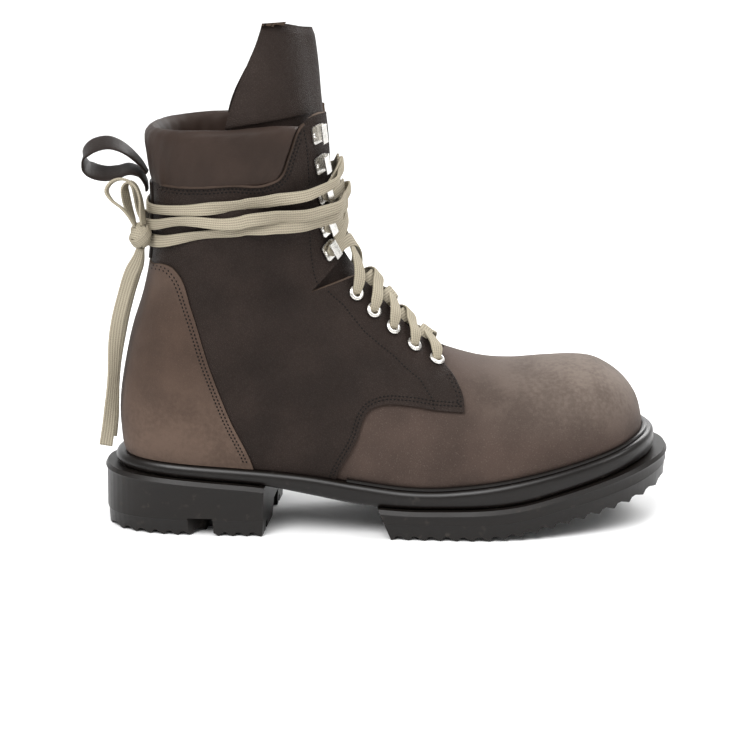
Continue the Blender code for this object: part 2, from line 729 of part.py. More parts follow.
def collar_cutter(name, above, shift):
    """All that lies above (or below) the line on which the collar pad sits."""
    line = shifted(side_points(COLLAR_LINE), *shift)
    far = shaft_height * 2 if above else 0.0
    outline = line + [(line[-1][0], far), (line[0][0], far)]
    return cutter(name, *prism(outline, ball_width))


def surface_frame(row, degrees, offset):
    """Place, outward normal, direction to the throat and upward direction."""
    turn = math.radians(degrees)
    place = form_shell_point(row, turn, offset)
    normal = form_shell_point(row, turn, offset + 0.001) - place
    normal /= np.linalg.norm(normal)
    nearer = turn - math.copysign(0.02, math.sin(turn))
    ahead = form_point(row, nearer) - form_point(row, turn)
    ahead -= normal * (ahead @ normal)
    ahead /= np.linalg.norm(ahead)
    up = np.cross(normal, ahead)
    return place, normal, ahead, up


def tube_rings(place, axes, profile, count):
    """Rings of a turned piece: profile rows are radius and height along its axis."""
    normal, ahead, up = axes
    rings = []
    for radius, height in profile:
        ring = []
        for k in range(count):
            angle = 2 * math.pi * k / count
            out = ahead * math.cos(angle) + up * math.sin(angle)
            ring.append(place + out * radius + normal * height)
        rings.append(ring)
    return rings


def closed_rings(rings):
    """Faces of rings joined in a loop, the last to the first."""
    count = len(rings[0])
    points = [p for ring in rings for p in ring]
    faces = []
    for row in range(len(rings)):
        nxt = (row + 1) % len(rings)
        for k in range(count):
            n = (k + 1) % count
            faces.append((row * count + k, row * count + n, nxt * count + n, nxt * count + k))
    return points, faces


eyelet_hole = 0.0026  # radius of the hole in the leather
eyelet_bore = 0.0019
eyelet_flange = 0.0044
eyelet_lip = 0.0009
eyelet_sides = 8


def eyelet_profile():
    """Barrel and rolled flange: radius, height over the quarter's outer face."""
    barrel = eyelet_hole - gap
    depth = quarter_thickness + gap + wall
    return (
        (eyelet_bore, -depth), (barrel, -depth), (barrel, 3 * gap), (eyelet_flange, 3 * gap),
        (eyelet_flange * 0.86, 3 * gap + eyelet_lip), (eyelet_bore, 3 * gap + eyelet_lip / 2),
    )


def make_eyelets(looks):
    """Ten rolled rings, and the cutter for the holes that they sit in."""
    points, faces = [], []
    for side, sign in (("outer", 1), ("inner", -1)):
        for number, (row, degrees) in enumerate(EYELETS):
            place, *axes = surface_frame(row, sign * degrees, gap + quarter_thickness)
            rings = tube_rings(place, axes, eyelet_profile(), eyelet_sides)
            add_object("eyelet_%s_%d" % (side, number + 1), *closed_rings(rings), looks["metal"])
            reach = wall * 4
            hole = tube_rings(place, axes, ((eyelet_hole, -reach), (eyelet_hole, reach)), eyelet_sides)
            more, sides = loft(hole)
            faces += [tuple(len(points) + v for v in face) for face in sides]
            points += more
    return cutter("eyelet_holes", points, faces)


hook_plate = 0.0046  # from the hook's middle to the plate's rear edge
hook_height = 0.0100
hook_metal = 0.0008
hook_bend = 0.0021


def hook_line():
    """Centre line of a hook's metal: distance to the throat, height off the plate."""
    line = [(-hook_plate, 0.0), (0.0018, 0.0)]
    for step in range(3):
        angle = math.radians(-50 + 65 * step)
        line.append((0.0018 + hook_bend * math.cos(angle), hook_bend + hook_bend * math.sin(angle)))
    line.append((-0.0018, 2.05 * hook_bend))
    return line


def make_hooks(looks):
    line = np.array(hook_line())
    run = np.gradient(line, axis=0)
    run /= np.linalg.norm(run, axis=1, keepdims=True)
    side = np.stack([run[:, 1], -run[:, 0]], 1) * hook_metal / 2
    outline = np.vstack([line + side, (line - side)[::-1]])
    seat = quarter_thickness + hook_metal / 2
    for name, sign in (("outer", 1), ("inner", -1)):
        for number, (row, degrees, gaps) in enumerate(HOOKS):
            place, normal, ahead, up = surface_frame(row, sign * degrees, seat + gaps * gap)
            rings = []
            for end in (-0.5, 0.5):
                rings.append(
                    [place + ahead * a + normal * n + up * end * hook_height for a, n in outline]
                )
            add_object("hook_%s_%d" % (name, number + 1), *loft(rings), looks["metal"])


def make_upper(looks, cutters):
    upper = form_shell("upper", 0.0, -wall, looks["vamp"])
    for tool in cutters:
        cut(upper, tool)
    return upper


def make_quarters(looks, cutters):
    """The two grained side panels over the upper, from the facing to the counter."""
    front = side_points(QUARTER_FRONT)
    rear = shifted(side_points(COUNTER_EDGE), gap, gap)
    high = shaft_height * 2
    outline = front + [(front[-1][0], high), (rear[0][0] - margin, high)]
    outline += [(rear[0][0] - margin, rear[0][1])] + rear
    for name, span in (("outer", (-ball_width, -gap / 2)), ("inner", (gap / 2, ball_width))):
        panel = form_shell(
            "quarter_" + name, gap + quarter_thickness, gap, looks["quarter"], QUARTER_ROW
        )
        cut(panel, cutter("quarter_%s_outline" % name, *prism(outline, span)), "INTERSECT")
        for tool in cutters:
            cut(panel, tool)


def make_counter(looks, floor):
    counter = form_shell("counter", gap + counter_thickness, gap, looks["nubuck"], COUNTER_ROW)
    edge = side_points(COUNTER_EDGE)
    outline = edge + [(edge[0][0] - margin, -margin), (edge[0][0] - margin, edge[0][1])]
    cut(counter, cutter("counter_outline", *prism(outline, ball_width)), "INTERSECT")
    cut(counter, floor)
    return counter


def make_collar(looks, below):
    """A padded band round the shaft's top, thinner at its seam and its front ends."""
    profile = np.array(PAD_PROFILE)
    shares = np.concatenate([profile[:, 0], profile[::-1, 0]])
    depths = np.concatenate([profile[:, 1], profile[::-1, 2]]) * pad_bulge
    span = np.array(PAD_SPAN)
    rings = []
    for place in np.linspace(-1, 1, 25):
        fullness = 1 - 0.55 * max(0.0, (abs(place) - 0.93) / 0.07)
        lean = np.clip(shares, 0, 1)
        front = PAD_FRONT[0] + (PAD_FRONT[1] - PAD_FRONT[0]) * lean
        degrees = 180 - abs(place) * (180 - front)
        seam = curve_value(span[:, 0], span[:, 1], degrees)
        rim = curve_value(span[:, 0], span[:, 2], degrees)
        rows = seam + (rim - seam) * shares
        turns = np.radians(degrees) * (1 if place < 0 else -1)
        rings.append(list(form_shell_point(rows, turns, depths * fullness)))
    collar = add_object("collar", *loft(rings), looks["nubuck"])
    return cut(collar, below)


def patch(name, rows, turns, outer, inner, look_of):
    """A closed sheet over a grid of rows and turns, between two offsets."""
    faces, points = [], []
    down, across = rows.shape
    for offset in (outer, inner):
        points.append(form_shell_point(rows, turns, offset).reshape(-1, 3))
    size = down * across
    for row in range(down - 1):
        for k in range(across - 1):
            a = row * across + k
            face = (a, a + 1, a + 1 + across, a + across)
            faces += [face, tuple(size + v for v in face[::-1])]
    border = [k for k in range(across)]
    border += [row * across + across - 1 for row in range(1, down)]
    border += [(down - 1) * across + k for k in range(across - 2, -1, -1)]
    border += [row * across for row in range(down - 2, 0, -1)]
    for a, b in zip(border, border[1:] + border[:1]):
        faces.append((b, a, size + a, size + b))
    return add_object(name, np.vstack(points), faces, look_of)


def make_tongue(looks):
    table = np.array(TONGUE)
    across = np.linspace(-1, 1, 11)
    steps = np.linspace(0, len(table) - 1, 19)
    row, spread, depth = (curve_value(range(len(table)), table[:, k], steps) for k in range(3))
    rows = row[:, None] + tongue_tilt * across[None, :] * np.clip(row[:, None] - 26, 0, 2)
    turns = np.radians(spread)[:, None] * across[None, :]
    depths = np.repeat(depth[:, None], len(across), 1) * tongue_depth
    return patch("tongue", rows, turns, -depths, -depths - tongue_thickness, looks["quarter"])


strap_width = 0.0150
backstay_half_turn = math.radians(7.0)


def make_backstay(looks):
    """A strap down the back of the shaft, over the seam where the quarters meet."""
    low, high = 22.84, 24.36
    rows = np.repeat(np.linspace(low, high, 5)[:, None], 5, 1)
    turns = math.pi + np.repeat(np.linspace(-1, 1, 5)[None, :], 5, 0) * backstay_half_turn
    seat = gap + quarter_thickness + gap
    outer = np.full(rows.shape, seat + strap_thickness)
    return patch("backstay", rows, turns, outer, np.full(rows.shape, seat), looks["lining"])


def make_pull_loop(looks):
    """One strap that leaves the back seam, turns over and comes back to it."""
    route = np.array(PULL_LOOP)
    steps = np.linspace(0, len(route) - 1, 25)
    line = np.stack([curve_value(range(len(route)), route[:, k], steps) for k in (0, 1)], 1)
    run = np.gradient(line, axis=0)
    run /= np.linalg.norm(run, axis=1, keepdims=True)
    out = np.stack([-run[:, 1], run[:, 0]], 1) * strap_thickness / 2
    rings = []
    for middle, thick in zip(line, out):
        ring = []
        for side, face in ((-1, -1), (1, -1), (1, 1), (-1, 1)):
            x, z = middle + thick * face
            ring.append((x, side * strap_width / 2, z))
        rings.append(ring)
    return add_object("pull_loop", *loft(rings), looks["lining"])


welt_height = 0.0020
welt_width = 0.0024
welt_start = 0.425  # share of the last's length where the rib begins on each side


def make_welt(looks, feather):
    """A thin rib on the midsole, round the foot of the vamp."""
    higher = feather_outline(welt_height)
    rings = []
    inner_low = stand_out(feather, 3 * gap, 3 * gap, 3 * gap)
    inner_high = stand_out(higher, 3 * gap, 3 * gap, 3 * gap)
    outer = stand_out(feather, 3 * gap + welt_width, 3 * gap + welt_width, 3 * gap + welt_width)
    share = np.sin(np.linspace(0, math.pi / 2, 20))
    sections = []
    for line, rise in ((inner_low, gap), (outer, gap), (outer, welt_height * 0.7), (inner_high, welt_height)):
        start = along_x(welt_start)
        left, right = station_ring(
            line, lambda x, r=rise: sole_height("feather", x) + r, share, (start, start)
        )
        sections.append(np.vstack([left, right[::-1][1:]]))
    for k in range(len(sections[0])):
        rings.append([section[k] for section in sections])
    return add_object("welt", *loft(rings), looks["midsole"])


def make_insole(looks, feather):
    inset = wall + 8 * gap
    stations = end_spacing(22)
    rings = []
    for rise in (gap, gap + insole_thickness):
        line = stand_out(feather, -inset, -inset, -inset)
        rings.append(station_ring(line, lambda x, r=rise: sole_height("feather", x) + r, stations))
    return layer("insole", rings, looks["lining"])


lace_width = 0.0078
lace_step = 0.0009  # by which a strand that crosses another lies higher


def ribbon(name, points, normals, look_of, closed=False):
    """A flat lace along points, its face turned to the normals."""
    points, normals = np.array(points), np.array(normals)
    if closed:
        run = np.roll(points, -1, 0) - np.roll(points, 1, 0)
    else:
        run = np.gradient(points, axis=0)
    across = np.cross(normals, run)
    across /= np.linalg.norm(across, axis=1, keepdims=True)
    normals = normals / np.linalg.norm(normals, axis=1, keepdims=True)
    rings = []
    for place, wide, thick in zip(points, across * lace_width / 2, normals * lace_thickness / 2):
        rings.append([place - wide - thick, place + wide - thick, place + wide + thick, place - wide + thick])
    shape = closed_rings(rings) if closed else loft(rings)
    return add_object(name, *shape, look_of)


def lace_seat():
    """Offset at which the lace's middle clears the metal on the facings."""
    return quarter_thickness + eyelet_lip + 10 * gap + lace_thickness / 2


def lace_run(name, row_turns, offsets, look_of, closed=False):
    """A flat lace laid over the boot through places given as row and degrees."""
    points, normals = [], []
    for (row, degrees), offset in zip(row_turns, offsets):
        place, normal, _, _ = surface_frame(row, degrees, offset)
        points.append(place)
        normals.append(normal)
    if not closed:
        steps = np.linspace(0, len(points) - 1, 2 * len(points) - 1)
        columns = [np.array(v)[:, k] for v in (points, normals) for k in range(3)]
        fine = [curve_value(range(len(points)), column, steps) for column in columns]
        points, normals = np.array(fine[:3]).T, np.array(fine[3:]).T
    return ribbon(name, points, normals, look_of, closed)


def make_lacing(looks):
    """Two strands that cross from eyelet to eyelet up to the lowest hooks."""
    stops = list(EYELETS) + [(HOOKS[0][0], HOOKS[0][1] - hook_clear)]
    strands = []
    for number, first in enumerate((1, -1)):
        places = []
        for k, (row, degrees) in enumerate(stops):
            sign = first * (1 if k % 2 == 0 else -1)
            places.append((row, sign * degrees))
            if k + 1 < len(stops):
                places.append(((row + stops[k + 1][0]) / 2, 0.1))
        seat = lace_seat() + number * lace_step
        strands.append(lace_run("lace", places, [seat] * len(places), looks["lace"]))
    lace, other = strands
    other.name = "lace_other_strand"
    other.hide_render = True
    other.display_type = "WIRE"
    return cut(lace, other, "UNION")


def make_bands(looks):
    """Three turns of lace round the shaft, above and below one another at the side."""
    turns = np.linspace(-180, 180, BAND_RINGS, endpoint=False)
    for number, table in enumerate(BANDS):
        table = np.array(table)
        rows = curve_value(table[:, 0], table[:, 1], np.abs(turns))
        offsets = [band_offset(abs(turn), number) for turn in turns]
        lace_run("lace_band_%d" % (number + 1), list(zip(rows, turns)), offsets, looks["lace"], True)


# How far a band stands off the leather round the shaft. Turn in degrees, shares of
# its height over the hooks and over the back strap.
BAND_OVER = (
    (0.0, 0.25, 0.0), (20.0, 0.30, 0.0), (32.0, 1.0, 0.0), (56.0, 1.0, 0.0), (72.0, 0.0, 0.0),
    (148.0, 0.0, 0.0), (162.0, 0.0, 1.0), (180.0, 0.0, 1.0),
)
BAND_RINGS = 28
UPPER_BAND = 1  # the band that lies over the two others
hook_clear = 16.0  # degrees between a strand's end and the hook's middle


def band_offset(degrees, number):
    table = np.array(BAND_OVER)
    hooks, back = (np.interp(degrees, table[:, 0], table[:, k]) for k in (1, 2))
    low = gap + quarter_thickness + 2 * gap + lace_thickness / 2
    over_hooks = eyelet_lip + 5 * gap + 2.2 * hook_bend
    lifted = (lace_thickness + 3 * gap) * (1 if number == UPPER_BAND else 0)
    return low + hooks * over_hooks + back * (strap_thickness + gap) + lifted


lace_tube = 0.0018  # radius of the free lace's plain solids


def smooth_route(route, spacing):
    """Evenly spaced points on a smooth curve through a route's own points."""
    route = np.array(route)
    fine = np.linspace(0, len(route) - 1, 40 * len(route))
    line = np.stack([curve_value(range(len(route)), route[:, k], fine) for k in range(3)], 1)
    run = np.concatenate([[0], np.cumsum(np.linalg.norm(np.diff(line, axis=0), axis=1))])
    at = np.linspace(0, run[-1], max(3, int(run[-1] / spacing) + 1))
    return np.stack([np.interp(at, run, line[:, k]) for k in range(3)], 1)


def cord(name, route, look_of):
    data = bpy.data.curves.new(name, "CURVE")
    data.dimensions = "3D"
    data.bevel_depth = lace_tube
    data.bevel_resolution = 1
    data.use_fill_caps = True
    points = smooth_route(route, lace_tube * 4)
    spline = data.splines.new("POLY")
    spline.points.add(len(points) - 1)
    for point, place in zip(spline.points, points):
        point.co = (*place, 1.0)
    data.materials.append(look_of)
    thing = bpy.data.objects.new(name, data)
    bpy.context.scene.collection.objects.link(thing)
    return thing


knot_size = (0.0044, 0.0052, 0.0066)


def make_knot(looks):
    rings = []
    for step in range(1, 7):
        angle = math.pi * step / 7 - math.pi / 2
        ring = []
        for k in range(12):
            turn = 2 * math.pi * k / 12
            ring.append(
                (
                    KNOT_AT[0] + knot_size[0] * math.cos(angle) * math.cos(turn),
                    KNOT_AT[1] + knot_size[1] * math.cos(angle) * math.sin(turn),
                    KNOT_AT[2] + knot_size[2] * math.sin(angle),
                )
            )
        rings.append(ring)
    return add_object("lace_knot", *loft(rings), looks["lace"])


def main():
    fresh_scene()
    looks = make_looks()
    feather = feather_outline(0.0)
    make_soles(looks, feather)
    make_insole(looks, feather)
    make_welt(looks, feather)

    floor = floor_cutter()
    throat = throat_cutter()
    notch = cutter("notch", *prism(side_points(NOTCH), ball_width))
    above = collar_cutter("above_collar_line", True, (0, 0))
    below = collar_cutter("below_collar_line", False, (-gap, gap))
    holes = make_eyelets(looks)
    leather_cuts = (floor, above, throat, notch, holes)
    make_upper(looks, leather_cuts)
    make_quarters(looks, leather_cuts)
    make_counter(looks, floor)
    make_collar(looks, below)
    make_tongue(looks)
    make_backstay(looks)
    make_pull_loop(looks)
    make_hooks(looks)
    make_lacing(looks)
    make_bands(looks)
    make_knot(looks)
    for name, route in (
        ("lace_loop_near", NEAR_LOOP),
        ("lace_loop_far", FAR_LOOP),
        ("lace_end_near", NEAR_END),
        ("lace_end_far", FAR_END),
    ):
        cord(name, route, looks["lace"])


main()
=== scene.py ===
# The looks of a laced army boot for the right foot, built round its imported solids.
# +X runs to the toe, +Y to the inner side of the foot, +Z up. Metres.
import math

import bmesh
import bpy
import numpy as np
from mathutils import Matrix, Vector, kdtree

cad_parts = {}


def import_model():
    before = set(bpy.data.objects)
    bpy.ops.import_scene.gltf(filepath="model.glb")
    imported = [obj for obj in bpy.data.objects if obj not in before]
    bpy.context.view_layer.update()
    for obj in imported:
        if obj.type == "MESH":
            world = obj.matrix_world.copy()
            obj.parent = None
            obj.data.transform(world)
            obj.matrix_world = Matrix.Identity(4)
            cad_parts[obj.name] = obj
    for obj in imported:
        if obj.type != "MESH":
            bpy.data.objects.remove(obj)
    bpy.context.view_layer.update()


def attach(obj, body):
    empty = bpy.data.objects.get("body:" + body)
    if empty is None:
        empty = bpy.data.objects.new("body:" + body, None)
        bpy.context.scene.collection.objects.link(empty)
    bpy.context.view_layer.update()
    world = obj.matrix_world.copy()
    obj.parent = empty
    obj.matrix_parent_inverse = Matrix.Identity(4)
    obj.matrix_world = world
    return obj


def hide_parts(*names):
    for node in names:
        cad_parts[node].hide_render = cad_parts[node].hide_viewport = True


# Driving sizes
last_length = 0.2912  # upper, from the heel curve to the toe
ball_width = 0.1020  # upper, at its widest
stack_height = 0.0384  # floor to the middle of the heel seat
shaft_height = 0.1840  # heel seat to the back of the collar
heel_rest = 0.0360  # heel curve to the origin, along the sole

# Thicknesses of the pieces
wall = 0.0022
quarter_thickness = 0.0014
counter_thickness = 0.0025
tongue_thickness = 0.0022
insole_thickness = 0.0030
strap_thickness = 0.0016
lace_thickness = 0.0015

# Sole sizes
midsole_side = 0.0055  # how far the midsole stands out beside the upper
midsole_heel = 0.0092
midsole_toe = 0.0072
midsole_round = 0.0024
outsole_side = 0.0090
outsole_heel = 0.0152
outsole_toe = 0.0150
bead_height = 0.0038
bead_round = 0.0012
wall_lean = 0.0012
lug_line = 0.0085
lug_step = 0.0005
tooth_depth = 0.0024
fore_pitch = 0.0087
heel_pitch = 0.0076
fore_rear = 0.1115  # origin to the rear face of the front outsole, at the floor
fore_rear_lean = 0.0070
heel_front = 0.0415  # origin to the breast of the heel, at the floor, outer side
heel_front_turn = math.radians(8.0)
heel_front_lean = 0.0030
lug_band = 0.0150
lug_channel = 0.0050
tread_depth = 0.0045
heel_notch = 0.0115  # a slanting groove across the heel's outer front corner
heel_notch_at = (0.0229, -0.0213, 0.0)
heel_notch_run = 0.0950
heel_notch_height = 0.0100
heel_notch_turn = math.radians(-40.0)

# Clearances
gap = 0.0003
margin = 0.0200  # how far a cutter runs past what it cuts

# The upper's sections, from the toe to above the collar. A section lies in the
# plane through its front and back points. Along: share of last_length from the
# heel curve. Rise: share of shaft_height above the feather line. Ridge, outer and
# inner: shares of ball_width, from the centre plane. Widest: share of the way from
# the back point to the front point. Round: exponents of the rounding.
SECTION_COLUMNS = (
    "front_along", "front_rise", "back_along", "back_rise", "ridge", "outer", "inner",
    "widest", "front_round", "back_round",
)
SECTIONS = (
    (0.9980, 0.036, 0.9980, -0.018, 0.049, 0.038, 0.135, 0.45, 2.1, 2.6),
    (0.9900, 0.090, 0.9900, -0.040, 0.049, 0.123, 0.222, 0.42, 2.2, 2.8),
    (0.9777, 0.130, 0.9777, -0.048, 0.049, 0.198, 0.286, 0.40, 2.3, 3.0),
    (0.9605, 0.168, 0.9605, -0.052, 0.049, 0.268, 0.345, 0.38, 2.3, 3.2),
    (0.9365, 0.208, 0.9365, -0.054, 0.047, 0.336, 0.389, 0.36, 2.3, 3.4),
    (0.9056, 0.245, 0.9056, -0.055, 0.044, 0.388, 0.428, 0.35, 2.3, 3.5),
    (0.8644, 0.269, 0.8644, -0.055, 0.041, 0.434, 0.460, 0.34, 2.25, 3.6),
    (0.8129, 0.284, 0.8129, -0.055, 0.039, 0.472, 0.486, 0.32, 2.2, 3.6),
    (0.7510, 0.299, 0.7510, -0.055, 0.039, 0.497, 0.496, 0.30, 2.15, 3.6),
    (0.6926, 0.322, 0.6926, -0.055, 0.041, 0.502, 0.478, 0.29, 2.1, 3.6),
    (0.6342, 0.360, 0.6342, -0.055, 0.044, 0.490, 0.438, 0.29, 2.05, 3.5),
    (0.5962, 0.392, 0.5580, -0.058, 0.044, 0.472, 0.402, 0.29, 2.0, 3.4),
    (0.5587, 0.440, 0.4760, -0.062, 0.041, 0.442, 0.368, 0.30, 1.95, 3.3),
    (0.5213, 0.505, 0.3760, -0.066, 0.035, 0.410, 0.352, 0.32, 1.95, 3.3),
    (0.4866, 0.568, 0.2668, -0.068, 0.028, 0.384, 0.352, 0.34, 2.0, 3.3),
    (0.4591, 0.618, 0.1604, -0.066, 0.020, 0.374, 0.356, 0.37, 2.0, 3.2),
    (0.4402, 0.658, 0.0700, -0.050, 0.012, 0.372, 0.360, 0.41, 2.0, 3.0),
    (0.4282, 0.696, 0.0200, -0.004, 0.008, 0.374, 0.364, 0.45, 2.0, 2.7),
    (0.4213, 0.735, 0.0095, 0.075, 0.005, 0.378, 0.370, 0.48, 2.0, 2.5),
    (0.4169, 0.775, 0.0098, 0.165, 0.000, 0.382, 0.376, 0.50, 2.0, 2.4),
    (0.4135, 0.818, 0.0192, 0.266, 0.000, 0.388, 0.382, 0.51, 2.05, 2.35),
    (0.4104, 0.866, 0.0348, 0.375, 0.000, 0.396, 0.390, 0.52, 2.1, 2.3),
    (0.4069, 0.916, 0.0572, 0.489, 0.000, 0.409, 0.404, 0.52, 2.15, 2.3),
    (0.4035, 0.968, 0.0724, 0.608, 0.000, 0.424, 0.419, 0.52, 2.2, 2.35),
    (0.4001, 1.018, 0.0762, 0.761, 0.000, 0.443, 0.438, 0.52, 2.25, 2.4),
    (0.3973, 1.064, 0.0745, 0.907, 0.000, 0.453, 0.448, 0.52, 2.25, 2.4),
    (0.3956, 1.086, 0.0728, 0.989, 0.000, 0.458, 0.453, 0.52, 2.25, 2.4),
    (0.3801, 1.200, 0.1160, 1.142, 0.015, 0.385, 0.410, 0.52, 2.1, 2.2),
    (0.3630, 1.325, 0.1670, 1.285, 0.025, 0.270, 0.330, 0.52, 2.0, 2.0),
)
COLLAR_ROW = 26  # the section at the collar's rim

# Heights along the sole. Along: share of last_length from the heel curve. The
# others: shares of stack_height above the floor.
SOLE_COLUMNS = ("along", "feather", "crease", "tread")
SOLE_LINES = (
    (-0.060, 1.078, 0.910, 0.00),
    (0.000, 1.068, 0.875, 0.00),
    (0.160, 0.995, 0.786, 0.00),
    (0.275, 0.935, 0.709, 0.00),
    (0.350, 0.880, 0.607, 0.00),
    (0.450, 0.768, 0.470, 0.00),
    (0.530, 0.698, 0.428, 0.00),
    (0.600, 0.695, 0.430, 0.00),
    (0.655, 0.735, 0.442, 0.00),
    (0.750, 0.850, 0.515, 0.07),
    (0.830, 0.975, 0.652, 0.21),
    (0.910, 1.120, 0.800, 0.345),
    (1.000, 1.300, 0.977, 0.52),
    (1.060, 1.380, 1.060, 0.65),
)

# Panel edges as seen from the side. Along and rise are shares, as in the sections.
COUNTER_EDGE = (
    (0.040, 0.575), (0.067, 0.582), (0.088, 0.593), (0.107, 0.591), (0.118, 0.576),
    (0.141, 0.478), (0.173, 0.304), (0.208, 0.156), (0.250, 0.010), (0.262, -0.100),
)
QUARTER_FRONT = (
    (0.402, -0.100), (0.406, 0.007), (0.441, 0.123), (0.472, 0.232), (0.492, 0.247),
    (0.532, 0.251), (0.594, 0.237), (0.644, 0.225), (0.643, 0.266), (0.629, 0.317),
    (0.610, 0.355), (0.606, 0.460),
)
COLLAR_LINE = (
    (-0.100, 0.820), (0.0745, 0.825), (0.120, 0.831), (0.1645, 0.839), (0.219, 0.852),
    (0.277, 0.858), (0.3015, 0.877), (0.3207, 0.949), (0.3417, 1.029), (0.3593, 1.056),
    (0.3915, 1.0725), (0.500, 1.080),
)
NOTCH = ((0.362, 0.5435), (0.436, 0.675), (0.520, 0.640))

# The throat between the facings. Section: row of the section table. Half: share of
# ball_width from the ridge to the facing's edge.
THROAT = (
    (10.40, 0.020), (10.48, 0.060), (10.65, 0.085), (11.00, 0.105), (12.00, 0.128),
    (14.00, 0.138), (16.00, 0.142), (18.00, 0.148), (20.00, 0.158), (22.00, 0.174),
    (24.00, 0.190), (26.60, 0.208),
)

# Eyelets and hooks from the toe upward: row of the section table and turn. A hook's
# third value is its seat's clearance, as a number of gaps.
EYELETS = ((10.96, 27.0), (12.02, 27.5), (12.94, 29.0), (13.78, 30.5), (14.68, 30.5))
HOOKS = (
    (17.60, 31.5, 3), (19.20, 32.5, 3), (21.18, 35.0, 3), (22.76, 37.0, 2.5), (24.24, 38.0, 1),
)

# The collar pad. Share: up the pad from its seam to its rim. Outer, inner: how far
# it stands out and in from the last, as shares of pad_bulge.
pad_bulge = 0.0045
PAD_PROFILE = (
    (-0.04, 0.30, -0.40), (0.16, 0.80, -0.95), (0.56, 1.00, -1.10), (0.88, 0.74, -0.88),
    (1.00, 0.14, -0.26),
)
# Seam and rim of the pad round the collar. Turn in degrees, rows of the table.
PAD_SPAN = (
    (54.0, 23.20, 24.86), (72.0, 23.26, 25.25), (86.0, 23.55, 25.47), (104.0, 23.94, 25.74),
    (131.0, 24.23, 25.88), (180.0, 24.42, 25.94),
)
PAD_FRONT = (67.0, 45.0)  # turn of the pad's front end at its seam and at its rim

# The tongue: row of the section table, half its spread in degrees, and how far its
# outer face lies inside the last, as a share of tongue_depth.
tongue_depth = 0.0056
TONGUE = (
    (8.60, 22.0, 0.56), (9.60, 30.0, 0.56), (10.60, 38.0, 0.56), (12.00, 46.0, 0.58),
    (14.00, 56.0, 0.62), (16.00, 66.0, 0.68), (18.00, 74.0, 0.72), (20.00, 82.0, 0.84),
    (22.00, 90.0, 0.96), (24.00, 96.0, 1.04), (26.00, 98.0, 1.06), (27.00, 94.0, 0.80),
    (27.90, 84.0, 0.50),
)
tongue_tilt = 0.20  # rows by which the top's outer corner stands higher, inner lower

# Bands of lace round the shaft: turn in degrees and rows of the table.
BANDS = (
    (
        (0.0, 21.90), (21.5, 21.70), (51.5, 22.10), (78.0, 22.70),
        (98.0, 23.28), (158.0, 23.88), (180.0, 23.92),
    ),
    (
        (0.0, 20.45), (25.5, 20.40), (50.5, 21.12), (77.0, 22.08),
        (111.5, 23.26), (155.0, 23.58), (180.0, 23.60),
    ),
    (
        (0.0, 19.55), (17.5, 19.54), (49.5, 20.56), (76.0, 21.60),
        (97.0, 22.48), (156.5, 23.26), (180.0, 23.30),
    ),
)

# Routes of the free lace, in metres, from the knot outward.
KNOT_AT = (-0.0217, -0.0246, 0.1640)
NEAR_LOOP = (
    (-0.0242, -0.0272, 0.1702), (-0.0268, -0.0280, 0.1748), (-0.0309, -0.0288, 0.1795),
    (-0.0360, -0.0296, 0.1839), (-0.0386, -0.0298, 0.1893), (-0.0352, -0.0290, 0.1939),
    (-0.0295, -0.0280, 0.1948), (-0.0240, -0.0275, 0.1914), (-0.0214, -0.0274, 0.1854),
    (-0.0206, -0.0273, 0.1787), (-0.0200, -0.0272, 0.1702),
)
FAR_LOOP = (
    (-0.0200, -0.0228, 0.1706), (-0.0218, -0.0190, 0.1776), (-0.0232, -0.0164, 0.1844),
    (-0.0252, -0.0146, 0.1896), (-0.0280, -0.0140, 0.1912), (-0.0300, -0.0144, 0.1880),
    (-0.0292, -0.0160, 0.1820), (-0.0274, -0.0190, 0.1760), (-0.0248, -0.0228, 0.1706),
)
NEAR_END = (
    (-0.0217, -0.0268, 0.1576), (-0.0240, -0.0268, 0.1506), (-0.0276, -0.0262, 0.1430),
    (-0.0312, -0.0250, 0.1317), (-0.0349, -0.0242, 0.1178), (-0.0372, -0.0232, 0.1038),
    (-0.0386, -0.0222, 0.0868), (-0.0402, -0.0212, 0.0726), (-0.0418, -0.0202, 0.0583),
    (-0.0437, -0.0194, 0.0467),
)
FAR_END = (
    (-0.0217, -0.0226, 0.1576), (-0.0230, -0.0206, 0.1506), (-0.0262, -0.0176, 0.1409),
    (-0.0298, -0.0154, 0.1297), (-0.0334, -0.0144, 0.1157), (-0.0362, -0.0134, 0.0987),
    (-0.0380, -0.0128, 0.0816), (-0.0396, -0.0122, 0.0647), (-0.0416, -0.0116, 0.0502),
)
PULL_LOOP = (
    (-0.0188, 0.1945), (-0.0224, 0.2000), (-0.0286, 0.2060), (-0.0350, 0.2097), (-0.0411, 0.2108),
    (-0.0481, 0.2087), (-0.0523, 0.2041), (-0.0516, 0.1986), (-0.0474, 0.1954),
    (-0.0410, 0.1940), (-0.0345, 0.1948), (-0.0286, 0.1964), (-0.0228, 0.1944),
    (-0.0196, 0.1892), (-0.0190, 0.1850),
)

# Small parts
eyelet_hole = 0.0026  # radius of the hole in the leather
eyelet_bore = 0.0019
eyelet_flange = 0.0044
eyelet_lip = 0.0009
eyelet_sides = 32
hook_plate = 0.0046  # from the hook's middle to the plate's rear edge
hook_height = 0.0100
hook_metal = 0.0008
hook_bend = 0.0021
rivet = 0.0015  # radius of a hook's rivet
strap_width = 0.0150
backstay_half_turn = math.radians(7.0)
welt_height = 0.0020
welt_width = 0.0024
welt_start = 0.425  # share of the last's length where the rib begins on each side
lace_width = 0.0078
lace_in_hole = 0.0035  # width of a lace that is gathered in an eyelet
stitch_length = 0.0014
stitch_width = 0.0009
stitch_pitch = 0.0021

